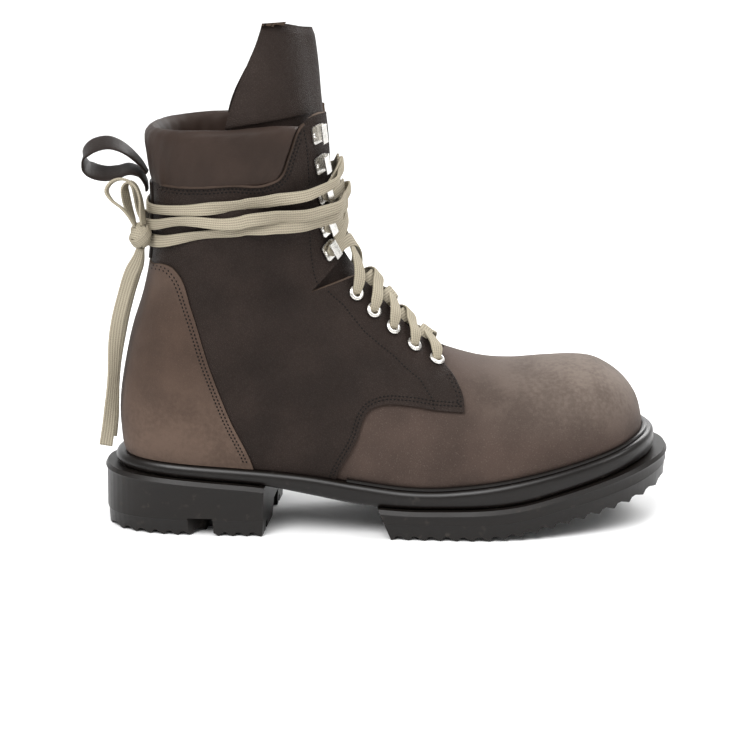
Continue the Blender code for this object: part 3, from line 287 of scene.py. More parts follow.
rivet_height = 0.0006
hook_neck = 0.0018  # where a hook's plate ends and its bend starts
first_hollow = 0.0010  # from the front outsole's rear face to the first hollow of its tread
heel_first_hollow = 0.0030
groove_spacing = 0.24  # share of the front outsole from one middle groove to the next
tongue_trim = 0.94  # share of the tongue's height over the collar that is left
tongue_lift = 0.0038  # how far the tongue's middle bulges out over the shaft
tongue_wave = 0.0007
pull_loop_roll = 0.48
leather_uneven = 0.00022
pad_pucker = 0.00022
seam_lift = 0.0002
band_ripple = 0.035
lace_pressed = 0.0006  # thickness of a lace under a facing
knot_turn_thickness = 0.0016
BACKSTAY_ROWS = (22.84, 24.36)
SEAM_SIZE = (0.0013, 0.0011)
EDGE_FACING = 0.45  # a panel's face that faces less outward or inward than this is its raw edge
STRAP_SIDES = 20
STRAP_SQUARE = (0.45, 0.60)  # exponents that make a strap's section squarer than an oval

# A hook's rounded corners: share of its height from the middle, and how far the rear
# edge is pulled in there.
HOOK_CORNER = ((0.5, 0.0022), (0.485, 0.0013), (0.44, 0.0006), (0.36, 0.0))
# How far the laces pass over the ridge, for the lower lace and the one laid over it
BAR_OVER_RIDGE = (0.0022, 0.0040)
STRAND_OVER_RIDGE = (0.0012, 0.0030)
# The knot: half sizes of its core and of the turns round it, then each turn's tilt,
# lean, size and width
KNOT_CORE = (0.0036, 0.0042, 0.0058)
KNOT_REACH = (0.0043, 0.0050, 0.0058)
KNOT_TURNS = ((0.35, 0.2, 1.06, 0.0064), (-0.75, -0.3, 1.20, 0.0052), (1.25, 0.5, 1.12, 0.0046))
# The free laces: node, route, direction of the width, twist, and what the far end is
FREE_LACES = (
    ("lace_loop_near", NEAR_LOOP, (0.35, 1.0, 0.0), 0.35, "object"),
    ("lace_loop_far", FAR_LOOP, (0.25, 1.0, 0.1), -0.30, "object"),
    ("lace_end_near", NEAR_END, (1.0, 0.25, 0.0), 0.50, "bare"),
    ("lace_end_far", FAR_END, (1.0, -0.35, 0.0), -0.55, "bare"),
)

# Depths of the materials' fine relief
nubuck_grain = 0.00016
plain_grain = 0.00012
rubber_grain = 0.00010
weave_depth = 0.00022
metal_grain = 0.000004

# Camera and lights. Angles in degrees.
CAMERA_AT = (0.0527, -1.1989, 0.366)
CAMERA_TURN = (76.6, 0, -2.5)
camera_lens = 106.3
camera_sensor = 36
sky_power = 0.55
sun_power = 2.6
sun_spread = 38
SUN_TURN = (34, -16, 0)
LIGHTS = (  # name, place, what it points at, size, power
    ("key", (-0.55, -1.0, 1.15), (0.08, 0, 0.09), 0.7, 5),
    ("toe", (0.95, -0.4, 0.95), (0.17, 0, 0.08), 0.5, 5),
    ("rim", (0.60, 0.8, 0.8), (0.02, 0, 0.15), 0.6, 9),
)

# How far a band of lace stands off the leather round the shaft. Turn in degrees,
# shares of its height over the hooks and over the back strap.
BAND_OVER = (
    (0.0, 0.25, 0.0), (20.0, 0.30, 0.0), (32.0, 1.0, 0.0), (56.0, 1.0, 0.0), (72.0, 0.0, 0.0),
    (148.0, 0.0, 0.0), (162.0, 0.0, 1.0), (180.0, 0.0, 1.0),
)
UPPER_BAND = 1  # the band that lies over the two others

# Creases: side, depth, half width, and places as seen from the side.
# Along and rise are shares, as in the sections. A depth below zero is a ridge.
CREASES = (
    ("outer", 0.0013, 0.0065, ((0.370, 0.500), (0.310, 0.520), (0.240, 0.500), (0.170, 0.520))),
    ("outer", -0.0009, 0.0060, ((0.360, 0.420), (0.300, 0.430), (0.235, 0.410), (0.190, 0.400))),
    ("outer", 0.0009, 0.0070, ((0.350, 0.330), (0.290, 0.320), (0.240, 0.250), (0.230, 0.150))),
    ("outer", 0.0008, 0.0050, ((0.480, 0.400), (0.440, 0.340), (0.420, 0.240), (0.430, 0.130))),
    ("outer", -0.0006, 0.0050, ((0.520, 0.360), (0.490, 0.300), (0.480, 0.240))),
    ("outer", 0.0009, 0.0050, ((0.690, 0.270), (0.680, 0.190), (0.650, 0.110), (0.640, 0.030))),
    ("outer", 0.0006, 0.0045, ((0.740, 0.250), (0.735, 0.170), (0.715, 0.100))),
    ("outer", 0.0010, 0.0080, ((0.300, 0.820), (0.290, 0.720), (0.270, 0.620))),
    ("outer", -0.0007, 0.0070, ((0.230, 0.820), (0.215, 0.720), (0.190, 0.640))),
    ("outer", 0.0007, 0.0050, ((0.060, 0.520), (0.100, 0.500), (0.140, 0.460))),
    ("outer", 0.0007, 0.0060, ((0.050, 0.300), (0.110, 0.280), (0.160, 0.220))),
    ("outer", 0.0008, 0.0060, ((0.345, 0.600), (0.325, 0.655), (0.335, 0.720))),
    ("inner", 0.0013, 0.0065, ((0.380, 0.480), (0.310, 0.510), (0.240, 0.500), (0.160, 0.530))),
    ("inner", -0.0009, 0.0060, ((0.370, 0.400), (0.300, 0.420), (0.200, 0.390))),
    ("inner", 0.0009, 0.0060, ((0.500, 0.380), (0.450, 0.300), (0.430, 0.180))),
    ("inner", 0.0009, 0.0050, ((0.700, 0.260), (0.680, 0.170), (0.650, 0.050))),
    ("inner", 0.0009, 0.0080, ((0.280, 0.820), (0.270, 0.720), (0.250, 0.620))),
    ("inner", 0.0007, 0.0060, ((0.060, 0.420), (0.110, 0.380), (0.160, 0.330))),
)

# Rows of stitches: edge, side of the edge and distance from it in metres.
STITCHED = (("counter", -1, 0.0017), ("counter", -1, 0.0034), ("front", 1, 0.0018), ("front", 1, 0.0035),
            ("collar", -1, 0.0018), ("collar", -1, 0.0034))
# Single rows of stitches along the facings, in rows of the section table and degrees.
FACING_STITCHES = (
    ((24.7, 50.5), (23.8, 49.0), (19.26, 45.0), (17.7, 44.0), (16.42, 43.5)),
    ((15.84, 41.0), (14.82, 40.0), (13.74, 43.0), (12.58, 42.5), (11.54, 45.5), (11.0, 53.5), (10.9, 58.5)),
)

# Mesh points around a section, and rows of points from one section to the next
AROUND = 168
ROW_STEPS = 6
SOLE_STATIONS = 150
HEEL_STATIONS = 90
LACE_STEP = 0.0012  # spacing of the rings of a lace
QUARTER_ROW = 7  # sections from which the side panels and the counter are made
COUNTER_ROW = 11

GUIDES = []  # shapes that only cut others, and go when the cuts are made


def along_x(share):
    """The place of a share of the last's length, in metres from the origin."""
    return share * last_length - heel_rest


def curve_value(places, values, at):
    """Values at places, read on a smooth curve through a table's rows."""
    places, values = np.asarray(places, float), np.asarray(values, float)
    steps = np.diff(places)
    slopes = np.diff(values) / steps
    inner = (slopes[:-1] * steps[1:] + slopes[1:] * steps[:-1]) / (steps[:-1] + steps[1:])
    tangents = np.concatenate([[slopes[0]], inner, [slopes[-1]]])
    at = np.clip(np.asarray(at, float), places[0], places[-1])
    left = np.clip(np.searchsorted(places, at, side="right") - 1, 0, len(steps) - 1)
    u = (at - places[left]) / steps[left]
    return (
        values[left] * (1 + 2 * u) * (1 - u) ** 2
        + tangents[left] * steps[left] * u * (1 - u) ** 2
        + values[left + 1] * u**2 * (3 - 2 * u)
        + tangents[left + 1] * steps[left] * u**2 * (u - 1)
    )


def sole_height(name, x):
    """The height of one of the sole's lines over the floor at x."""
    column = SOLE_COLUMNS.index(name)
    places = [along_x(row[0]) for row in SOLE_LINES]
    return curve_value(places, [row[column] * stack_height for row in SOLE_LINES], x)


def section_values(name, t):
    """One column of the section table at table rows t, which may be fractions."""
    column = SECTION_COLUMNS.index(name)
    return curve_value(range(len(SECTIONS)), [row[column] for row in SECTIONS], t)


def form_point(t, turn):
    """Points of the last's surface: t counts sections from the toe, turn goes round
    a section from its front point over the outer side to the back point."""
    t, turn = np.broadcast_arrays(np.asarray(t, float), np.asarray(turn, float))
    front_x = along_x(section_values("front_along", t))
    back_x = along_x(section_values("back_along", t))
    front_rise = section_values("front_rise", t) * shaft_height
    back_rise = section_values("back_rise", t) * shaft_height
    ridge = section_values("ridge", t) * ball_width
    widest = section_values("widest", t)
    cosine, sine = np.cos(turn), np.sin(turn)
    to_front = cosine >= 0
    power = 2 / np.where(to_front, section_values("front_round", t), section_values("back_round", t))
    reach = np.where(to_front, 1 - widest, widest)
    share = widest + reach * np.sign(cosine) * np.abs(cosine) ** power
    side = np.where(
        sine >= 0,
        -(section_values("outer", t) * ball_width + ridge),
        section_values("inner", t) * ball_width - ridge,
    )
    x = back_x + share * (front_x - back_x)
    rise = back_rise + share * (front_rise - back_rise)
    y = ridge + side * np.abs(sine) ** power
    return np.stack([x, y, rise + sole_height("feather", x)], axis=-1)


def form_shell_point(t, turn, offset):
    """Points at a distance outside (or, below zero, inside) the last's surface."""
    t, turn = np.broadcast_arrays(np.asarray(t, float), np.asarray(turn, float))
    small = 0.02
    low, high = np.clip(t - small, 0, None), np.clip(t + small, None, len(SECTIONS) - 1)
    up = form_point(high, turn) - form_point(low, turn)
    round_it = form_point(t, turn + small) - form_point(t, turn - small)
    normal = np.cross(up, round_it)
    normal /= np.maximum(np.linalg.norm(normal, axis=-1, keepdims=True), 1e-12)
    return form_point(t, turn) + normal * np.asarray(offset)[..., None]


def line_distance(x, z, line):
    """Distance of places seen from the side to a line, and how far along it they are."""
    line = np.asarray(line)
    lengths = np.linalg.norm(np.diff(line, axis=0), axis=1)
    begins = np.concatenate([[0], np.cumsum(lengths)])
    nearest = np.full(np.shape(x), np.inf)
    along = np.zeros(np.shape(x))
    for k, (a, b) in enumerate(zip(line, line[1:])):
        share = ((x - a[0]) * (b[0] - a[0]) + (z - a[1]) * (b[1] - a[1])) / lengths[k] ** 2
        share = np.clip(share, 0, 1)
        away = np.hypot(x - a[0] - share * (b[0] - a[0]), z - a[1] - share * (b[1] - a[1]))
        closer = away < nearest
        nearest = np.where(closer, away, nearest)
        along = np.where(closer, (begins[k] + share * lengths[k]) / begins[-1], along)
    return nearest, along


def eased(value):
    """A share that starts and stops softly."""
    value = np.clip(value, 0, 1)
    return value * value * (3 - 2 * value)


def crease_offset(t, turn):
    """How far the leather stands off the last because of creases and soft unevenness."""
    points = form_point(t, turn)
    x, z = points[..., 0], points[..., 2]
    side = np.sin(turn)
    across = np.sin(np.asarray(turn) * 2 + z * 30)
    total = leather_uneven * np.sin(x * 118 + 1.3) * np.sin(z * 95 + x * 40) * across
    for which, depth, width, shares in CREASES:
        distance, along = line_distance(x, z, side_points(shares))
        fade = eased(along * 4) * eased((1 - along) * 4)
        facing = eased((side if which == "outer" else -side) * 3)
        total = total - depth * np.exp(-((distance / width) ** 2)) * fade * facing
    return total


def leather_point(t, turn, offset):
    """Points at a distance off the creased leather."""
    return form_shell_point(t, turn, offset + crease_offset(t, turn))


def add_object(name, points, faces, smooth=True):
    """A mesh object from points and faces, its faces turned outward."""
    mesh = bpy.data.meshes.new(name)
    mesh.from_pydata([tuple(float(v) for v in p) for p in points], [], faces)
    work = bmesh.new()
    work.from_mesh(mesh)
    bmesh.ops.remove_doubles(work, verts=work.verts, dist=1e-6)
    bmesh.ops.dissolve_degenerate(work, edges=work.edges, dist=1e-7)
    bmesh.ops.recalc_face_normals(work, faces=work.faces)
    if work.calc_volume(signed=True) < 0:
        bmesh.ops.reverse_faces(work, faces=work.faces)
    work.to_mesh(mesh)
    work.free()
    if smooth:
        mesh.shade_smooth()
        mesh.set_sharp_from_angle(angle=math.radians(40))
    thing = bpy.data.objects.new(name, mesh)
    bpy.context.scene.collection.objects.link(thing)
    return thing


def cutter(name, points, faces):
    """A guide shape that only cuts others."""
    thing = add_object(name, points, faces, smooth=False)
    thing.hide_render = True
    GUIDES.append(thing)
    return thing


def cut(thing, tool, how="DIFFERENCE"):
    change = thing.modifiers.new(how.lower() + " " + tool.name, "BOOLEAN")
    change.operation = how
    change.object = tool
    change.solver = "MANIFOLD"
    return thing


def settle(thing):
    """Makes an object's cuts final and shades it smooth between its edges."""
    bpy.context.view_layer.update()
    graph = bpy.context.evaluated_depsgraph_get()
    mesh = bpy.data.meshes.new_from_object(thing.evaluated_get(graph))
    thing.modifiers.clear()
    thing.data = mesh
    mesh.materials.clear()
    mesh.shade_smooth()
    mesh.set_sharp_from_angle(angle=math.radians(42))
    return thing


def loft(rings):
    """Points and faces of rings with equal counts, joined one to the next."""
    count = len(rings[0])
    points = [p for ring in rings for p in ring]
    faces = []
    for row in range(len(rings) - 1):
        for k in range(count):
            a, b = row * count + k, row * count + (k + 1) % count
            faces.append((a, b, b + count, a + count))
    faces.append(tuple(range(count))[::-1])
    last = (len(rings) - 1) * count
    faces.append(tuple(range(last, last + count)))
    return points, faces


def prism(outline, half_width):
    """A side outline of (x, z) points, run across the boot in Y."""
    low, high = (half_width if isinstance(half_width, tuple) else (-half_width, half_width))
    rings = [[(x, side, z) for x, z in outline] for side in (low, high)]
    return loft(rings)


def form_shell(name, outer_offset, inner_offset, first_row=0):
    """A creased shell between two offsets off the last, open at the collar. From row 0
    it is closed round the toe, and from a later row it is open there too."""
    rows = np.linspace(first_row, COLLAR_ROW, (COLLAR_ROW - first_row) * ROW_STEPS + 1)
    turns = np.arange(AROUND) * 2 * math.pi / AROUND
    points, faces, starts = [], [], []
    for offset in (outer_offset, inner_offset):
        grid = leather_point(rows[:, None], turns[None, :], offset)
        starts.append(len(points))
        points.extend(grid.reshape(-1, 3))
        for row in range(len(rows) - 1):
            for k in range(AROUND):
                a = starts[-1] + row * AROUND + k
                b = starts[-1] + row * AROUND + (k + 1) % AROUND
                faces += [(a, b, b + AROUND), (a, b + AROUND, a + AROUND)]
        if first_row == 0:
            tip = len(points)
            reach = (1 - SECTIONS[0][0]) * last_length + offset * 0.5
            points.append(grid[0].mean(axis=0) + np.array([reach, 0, 0]))
            for k in range(AROUND):
                faces.append((tip, starts[-1] + (k + 1) % AROUND, starts[-1] + k))
    last = (len(rows) - 1) * AROUND
    rims = [(starts[0] + last, starts[1] + last)]
    if first_row > 0:
        rims.append(tuple(starts))
    for first, second in rims:
        for k in range(AROUND):
            n = (k + 1) % AROUND
            faces.append((first + k, first + n, second + n, second + k))
    return add_object(name, points, faces)


def feather_outline(rise, count=240):
    """The last's outline in plan, at a height above the feather line."""
    rows = np.linspace(0, COLLAR_ROW, 420)
    turns = np.linspace(0, 2 * math.pi, 721)
    grid = form_point(rows[:, None], turns[None, :])
    level = grid[..., 2] - sole_height("feather", grid[..., 0]) - rise
    half = len(turns) // 2
    sides = {"outer": [], "inner": []}
    for row in range(len(rows)):
        for name, span in (("outer", range(half)), ("inner", range(len(turns) - 1, half, -1))):
            step = 1 if name == "outer" else -1
            for k in span:
                a, b = level[row, k], level[row, k + step]
                if a > 0 >= b:
                    share = a / (a - b)
                    sides[name].append(grid[row, k] * (1 - share) + grid[row, k + step] * share)
                    break
    tip = (np.asarray(form_point(0, 0)) + np.asarray(form_point(0, math.pi))) / 2
    tip[0] = along_x(1.0)
    back = []
    for row in range(len(rows) - 1):
        a, b = level[row, half], level[row + 1, half]
        if a < 0 <= b:
            share = a / (a - b)
            back.append(grid[row, half] * (1 - share) + grid[row + 1, half] * share)
    loop = [tip] + sides["outer"] + back[:1] + sides["inner"][::-1]
    return even_loop(np.array(loop)[:, :2], count)


def even_loop(loop, count):
    """A closed plan line of evenly spaced points, lightly smoothed."""
    closed = np.vstack([loop, loop[:1]])
    run = np.concatenate([[0], np.cumsum(np.linalg.norm(np.diff(closed, axis=0), axis=1))])
    at = np.linspace(0, run[-1], count, endpoint=False)
    even = np.stack([np.interp(at, run, closed[:, k]) for k in (0, 1)], axis=1)
    for _ in range(6):
        even = even * 0.5 + (np.roll(even, 1, axis=0) + np.roll(even, -1, axis=0)) * 0.25
    return even


def outward(loop):
    """Unit directions pointing out of a closed plan line."""
    run = np.roll(loop, -1, axis=0) - np.roll(loop, 1, axis=0)
    out = np.stack([run[:, 1], -run[:, 0]], axis=1)
    out /= np.linalg.norm(out, axis=1, keepdims=True)
    if ((loop - loop.mean(axis=0)) * out).sum() < 0:
        out = -out
    return out


def stand_out(loop, side, heel, toe):
    """A plan line moved outward by a side margin that turns to the end margins."""
    out = outward(loop)
    ends = np.where(out[:, 0] > 0, toe, heel)
    step = side + (ends - side) * out[:, 0] ** 2
    return loop + out * step[:, None]


def side_lines(loop):
    """A closed plan line split at its ends: x and y of the outer and inner sides."""
    front, back = int(loop[:, 0].argmax()), int(loop[:, 0].argmin())
    rolled = np.roll(loop, -front, axis=0)
    turn = (back - front) % len(loop)
    first, second = rolled[: turn + 1], np.vstack([rolled[turn:], rolled[:1]])
    chains = [first[::-1], second]
    chains.sort(key=lambda chain: chain[:, 1].mean())
    return chains


def edge_y(chain, x):
    order = np.maximum.accumulate(chain[:, 0] + np.arange(len(chain)) * 1e-9)
    return np.interp(x, order, chain[:, 1])


def station_ring(loop, height, stations, starts=None, stops=None):
    """A ring of a sole layer: paired points on both sides at stations along it.
    Starts and stops are x on the outer and inner side where an end is cut straight."""
    sides = []
    for number, chain in enumerate(side_lines(loop)):
        low = loop[:, 0].min() if starts is None else starts[number]
        high = loop[:, 0].max() if stops is None else stops[number]
        x = low + (high - low) * stations
        sides.append(np.stack([x, edge_y(chain, x), height(x)], 1))
    return sides


def end_spacing(count, straight=None):
    """Stations from 0 to 1, close together at each end that is round."""
    even = np.linspace(0, 1, count)
    if straight == "start":
        return np.sin(even * math.pi / 2)
    if straight == "stop":
        return 1 - np.cos(even * math.pi / 2)
    return (1 - np.cos(even * math.pi)) / 2


def layer(name, rings):
    """A closed layer of the sole from station rings, listed from the bottom up."""
    count = len(rings[0][0])
    points, faces = [], []
    for left, right in rings:
        points.extend(left)
        points.extend(right)
    size = 2 * count
    for ring in range(len(rings) - 1):
        for side in (0, 1):
            for k in range(count - 1):
                a = ring * size + side * count + k
                face = (a, a + 1, a + 1 + size, a + size)
                faces.append(face if side else face[::-1])
        for end in (0, count - 1):
            a, b = ring * size + end, ring * size + count + end
            face = (a, b, b + size, a + size)
            faces.append(face if end else face[::-1])
    for ring in (0, len(rings) - 1):
        for k in range(count - 1):
            a, b = ring * size + k, ring * size + count + k
            faces.append((a, a + 1, b + 1, b))
    return add_object(name, points, faces)


def tooth_comb(start, pitch, count):
    """Side outline of the hollows between teeth: steep on the heel side of a tip,
    then a ramp that rises to a rounded crest towards the toe."""
    tooth = ((0.00, 0.0), (0.18, 0.88), (0.42, 1.0), (0.96, 0.0))
    points = [(start - margin, -margin)]
    for number in range(count):
        for share, rise in tooth:
            x = start + (number + share) * pitch
            points.append((x, float(sole_height("tread", x)) + rise * tooth_depth))
    points.append((start + count * pitch, -margin))
    return points


def outsole_line(feather, inset):
    return stand_out(feather, outsole_side - inset, outsole_heel - inset, outsole_toe - inset)


def outsole_wall(feather, stations, starts, stops):
    """The side of an outsole unit from the tread up: a step above the lugs, a wall
    that leans in towards the tread, and a bead round the top."""

    def tread(rise):
        return lambda x: sole_height("tread", x) + rise

    def crease(drop):
        return lambda x: sole_height("crease", x) - drop

    wall_rings = (
        (lug_step + wall_lean, tread(0.0)),
        (lug_step + wall_lean * 0.5, tread(lug_line)),
        (wall_lean * 0.5, tread(lug_line + lug_step)),
        (bead_round * 0.7, crease(bead_height)),
        (0.0, crease(bead_height * 0.60)),
        (bead_round, crease(0.0)),
    )
    rings = []
    for inset, height in wall_rings:
        line = outsole_line(feather, inset)
        middle = float(height(np.array(fore_rear)))
        ring_starts = starts(middle) if starts else None
        ring_stops = stops(middle) if stops else None
        rings.append(station_ring(line, height, stations, ring_starts, ring_stops))
    return rings


def tread_block(feather, inset, low):
    """Rings of an upright block inside the outsole's edge, as high as the lugs."""
    stations = end_spacing(18)
    line = outsole_line(feather, inset)
    heights = (lambda x: x * 0 + low, lambda x: sole_height("tread", x) + tread_depth)
    return [station_ring(line, height, stations) for height in heights]


def cut_tread(unit, feather, comb):
    """Teeth round the edge of a unit's tread, and a channel between them and the
    middle lugs."""
    points, faces = prism(comb, ball_width)
    teeth = cutter(unit.name + "_tooth_hollows", points, faces)
    island = layer(unit.name + "_middle", tread_block(feather, lug_band + lug_channel, -2 * margin))
    channel = layer(unit.name + "_channel", tread_block(feather, lug_band, -margin))
    for guide in (island, channel):
        guide.hide_render = True
        GUIDES.append(guide)
    cut(teeth, island)
    cut(channel, island)
    cut(unit, teeth)
    cut(unit, channel)


def box(centre, size, turn=0.0):
    """Points and faces of a box turned about Z."""
    cosine, sine = math.cos(turn), math.sin(turn)
    rings = []
    for up in (-0.5, 0.5):
        ring = []
        for across, away in ((-0.5, -0.5), (0.5, -0.5), (0.5, 0.5), (-0.5, 0.5)):
            dx, dy = across * size[0], away * size[1]
            ring.append(
                (
                    centre[0] + dx * cosine - dy * sine,
                    centre[1] + dx * sine + dy * cosine,
                    centre[2] + up * size[2],
                )
            )
        rings.append(ring)
    return loft(rings)


def side_points(shares):
    """Side outline points from a table of shares along the last and above the sole."""
    points = []
    for along, rise in shares:
        x = along_x(along)
        points.append((x, float(sole_height("feather", x)) + rise * shaft_height))
    return points



def fair(points, count):
    """A smooth line with evenly spread points through the points of a table."""
    points = np.asarray(points, float)
    run = np.concatenate([[0], np.cumsum(np.linalg.norm(np.diff(points, axis=0), axis=1))])
    at = np.linspace(0, run[-1], count)
    return [tuple(p) for p in np.stack([curve_value(run, points[:, k], at) for k in (0, 1)], 1)]


def panel_edges():
    """The panels' edges as smooth lines seen from the side."""
    front = side_points(QUARTER_FRONT)
    corner = 7  # the table's row at which the front edge turns back to the facing
    return {
        "counter": fair(side_points(COUNTER_EDGE), 80),
        "front": fair(front[: corner + 1], 50) + fair(front[corner:], 20)[1:],
        "collar": fair(side_points(COLLAR_LINE), 90),
    }


def floor_cutter():
    """What lies below the upper: the midsole's top and the room under it."""
    x = np.linspace(along_x(1.15), along_x(-0.15), 120)
    outline = [(along_x(-0.15), -margin), (along_x(1.15), -margin)]
    outline += [(float(v), float(sole_height("feather", v)) + gap) for v in x]
    return cutter("below_feather", *prism(outline, ball_width))


def throat_cutter():
    table = np.array(THROAT)
    rings = []
    for row in np.linspace(table[0, 0], table[-1, 0], 90):
        half = float(np.interp(row, table[:, 0], table[:, 1]))
        middle = form_point(row, 0.0)
        ahead = middle - form_point(row, math.pi)
        ahead[1] = 0.0
        ahead /= np.linalg.norm(ahead)
        inner, outer = middle - ahead * wall * 4, middle + ahead * wall * 6
        across = np.array([0.0, half * ball_width, 0.0])
        rings.append([inner - across, outer - across, outer + across, inner + across])
    return cutter("throat", *loft(rings))


def collar_cutter(name, line, above, shift):
    """All that lies above (or below) the line on which the collar pad sits."""
    line = [(x + shift[0], z + shift[1]) for x, z in line]
    far = shaft_height * 2 if above else 0.0
    return cutter(name, *prism(line + [(line[-1][0], far), (line[0][0], far)], ball_width))


def offset_line(line, distance):
    """A side line moved to its left (or, below zero, its right) by a distance."""
    line = np.asarray(line)
    run = np.gradient(line, axis=0)
    run /= np.linalg.norm(run, axis=1, keepdims=True)
    return line + np.stack([-run[:, 1], run[:, 0]], 1) * distance


def spaced(line, pitch):
    line = np.asarray(line)
    run = np.concatenate([[0], np.cumsum(np.linalg.norm(np.diff(line, axis=0), axis=1))])
    at = np.arange(pitch / 2, run[-1], pitch)
    return np.stack([np.interp(at, run, line[:, k]) for k in range(line.shape[1])], 1)


def form_places(line, sign):
    """Rows and turns of the last's places that lie on a line seen from the side."""
    rows = np.linspace(6.0, 26.4, 420)
    turns = np.linspace(0.02, math.pi - 0.02, 300) * sign
    grid = form_point(rows[:, None], turns[None, :])
    flat = grid[..., (0, 2)].reshape(-1, 2)
    found = []
    for place in np.asarray(line):
        k = int(((flat - place) ** 2).sum(1).argmin())
        t, turn = rows[k // len(turns)], turns[k % len(turns)]
        for _ in range(3):
            here = form_point(t, turn)[[0, 2]]
            by_row = (form_point(t + 0.01, turn)[[0, 2]] - here) / 0.01
            by_turn = (form_point(t, turn + 0.005)[[0, 2]] - here) / 0.005
            slopes = np.stack([by_row, by_turn], 1)
            if abs(np.linalg.det(slopes)) < 1e-9:
                break
            step = np.linalg.solve(slopes, place - here)
            t += float(np.clip(step[0], -0.1, 0.1))
            turn += float(np.clip(step[1], -0.03, 0.03))
        miss = np.linalg.norm(form_point(t, turn)[[0, 2]] - place)
        if miss < 0.0006:
            found.append((t, turn))
    return found


def surface_frame(row, degrees, offset):
    """Place, outward normal, direction to the throat and upward direction."""
    turn = math.radians(degrees)
    place = form_shell_point(row, turn, offset)
    normal = form_shell_point(row, turn, offset + 0.001) - place
    normal /= np.linalg.norm(normal)
    nearer = turn - math.copysign(0.02, math.sin(turn))
    ahead = form_point(row, nearer) - form_point(row, turn)
    ahead -= normal * (ahead @ normal)
    ahead /= np.linalg.norm(ahead)
    up = np.cross(normal, ahead)
    return place, normal, ahead, up


def tube_rings(place, axes, profile, count):
    """Rings of a turned piece: profile rows are radius and height along its axis."""
    normal, ahead, up = axes
    rings = []
    for radius, height in profile:
        ring = []
        for k in range(count):
            angle = 2 * math.pi * k / count
            out = ahead * math.cos(angle) + up * math.sin(angle)
            ring.append(place + out * radius + normal * height)
        rings.append(ring)
    return rings


def closed_rings(rings):
    """Faces of rings joined in a loop, the last to the first."""
    count = len(rings[0])
    points = [p for ring in rings for p in ring]
    faces = []
    for row in range(len(rings)):
        nxt = (row + 1) % len(rings)
        for k in range(count):
            n = (k + 1) % count
            faces.append((row * count + k, row * count + n, nxt * count + n, nxt * count + k))
    return points, faces


def band_offset(degrees, number):
    table = np.array(BAND_OVER)
    hooks, back = (np.interp(degrees, table[:, 0], table[:, k]) for k in (1, 2))
    low = gap + quarter_thickness + 2 * gap + lace_thickness / 2
    over_hooks = eyelet_lip + 5 * gap + 2.2 * hook_bend
    lifted = (lace_thickness + 3 * gap) * (1 if number == UPPER_BAND else 0)
    return low + hooks * over_hooks + back * (strap_thickness + gap) + lifted


def smooth_route(route, spacing):
    """Evenly spaced points on a smooth curve through a route's own points."""
    route = np.array(route)
    fine = np.linspace(0, len(route) - 1, 40 * len(route))
    line = np.stack([curve_value(range(len(route)), route[:, k], fine) for k in range(3)], 1)
    run = np.concatenate([[0], np.cumsum(np.linalg.norm(np.diff(line, axis=0), axis=1))])
    at = np.linspace(0, run[-1], max(3, int(run[-1] / spacing) + 1))
    return np.stack([np.interp(at, run, line[:, k]) for k in range(3)], 1)


class Value:
    """A shader socket. Sums and products of sockets and numbers add Math nodes."""

    def __init__(self, look, socket):
        self.look = look
        self.socket = socket

    def maths(self, operation, first, second):
        return self.look.node("ShaderNodeMath", {"operation": operation}, {0: first, 1: second})

    def __add__(self, other):
        return self.maths("ADD", self, other)

    def __mul__(self, other):
        return self.maths("MULTIPLY", self, other)

    def __rsub__(self, other):
        return self.maths("SUBTRACT", other, self)

    __radd__ = __add__
    __rmul__ = __mul__


class Look:
    """A material on its way: a Principled shader and what feeds it."""

    def __init__(self, name, roughness, metallic=0.0):
        self.material = bpy.data.materials.new(name)
        self.material.use_nodes = True
        self.tree = self.material.node_tree
        self.shader = self.tree.nodes["Principled BSDF"]
        self.set(roughness=roughness, metallic=metallic)
        self.shader.inputs["Specular IOR Level"].default_value = 0.5 if metallic else 0.18
        self.place = self.node("ShaderNodeTexCoord", out="Object")
        axes = {name: self.node("ShaderNodeSeparateXYZ", sockets={0: self.place}, out=name) for name in "XYZ"}
        self.x, self.y, self.z = axes["X"], axes["Y"], axes["Z"]

    def set(self, **sockets):
        """Joins values or links to the shader's sockets."""
        for name, value in sockets.items():
            self.join(value, self.shader.inputs[name.replace("_", " ").title()])

    def join(self, value, socket):
        if isinstance(value, Value):
            self.tree.links.new(value.socket, socket)
        else:
            socket.default_value = value

    def node(self, kind, settings=None, sockets=None, out=0):
        made = self.tree.nodes.new(kind)
        for name, value in (settings or {}).items():
            setattr(made, name, value)
        for name, value in (sockets or {}).items():
            self.join(value, made.inputs[name])
        return Value(self, made.outputs[out])

    def noise(self, scale, detail):
        sockets = {"Vector": self.place, "Scale": scale, "Detail": detail}
        return self.node("ShaderNodeTexNoise", sockets=sockets)

    def cells(self, scale):
        sockets = {"Vector": self.place, "Scale": scale}
        return self.node("ShaderNodeTexVoronoi", {"feature": "F1"}, sockets, "Distance")

    def span(self, value, low, high):
        """0 below low, 1 above high, and soft between."""
        sockets = {"Value": value, "From Min": low, "From Max": high}
        return self.node("ShaderNodeMapRange", {"interpolation_type": "SMOOTHSTEP"}, sockets)

    def mixed(self, factor, first, second):
        """A colour between two, by a factor."""
        first, second = ((*c, 1.0) if isinstance(c, tuple) else c for c in (first, second))
        return self.node("ShaderNodeMix", {"data_type": "RGBA"}, {0: factor, 6: first, 7: second}, 2)

    def bumped(self, height, distance, strength=1.0):
        sockets = {"Height": height, "Distance": distance, "Strength": strength}
        self.join(self.node("ShaderNodeBump", sockets=sockets), self.shader.inputs["Normal"])


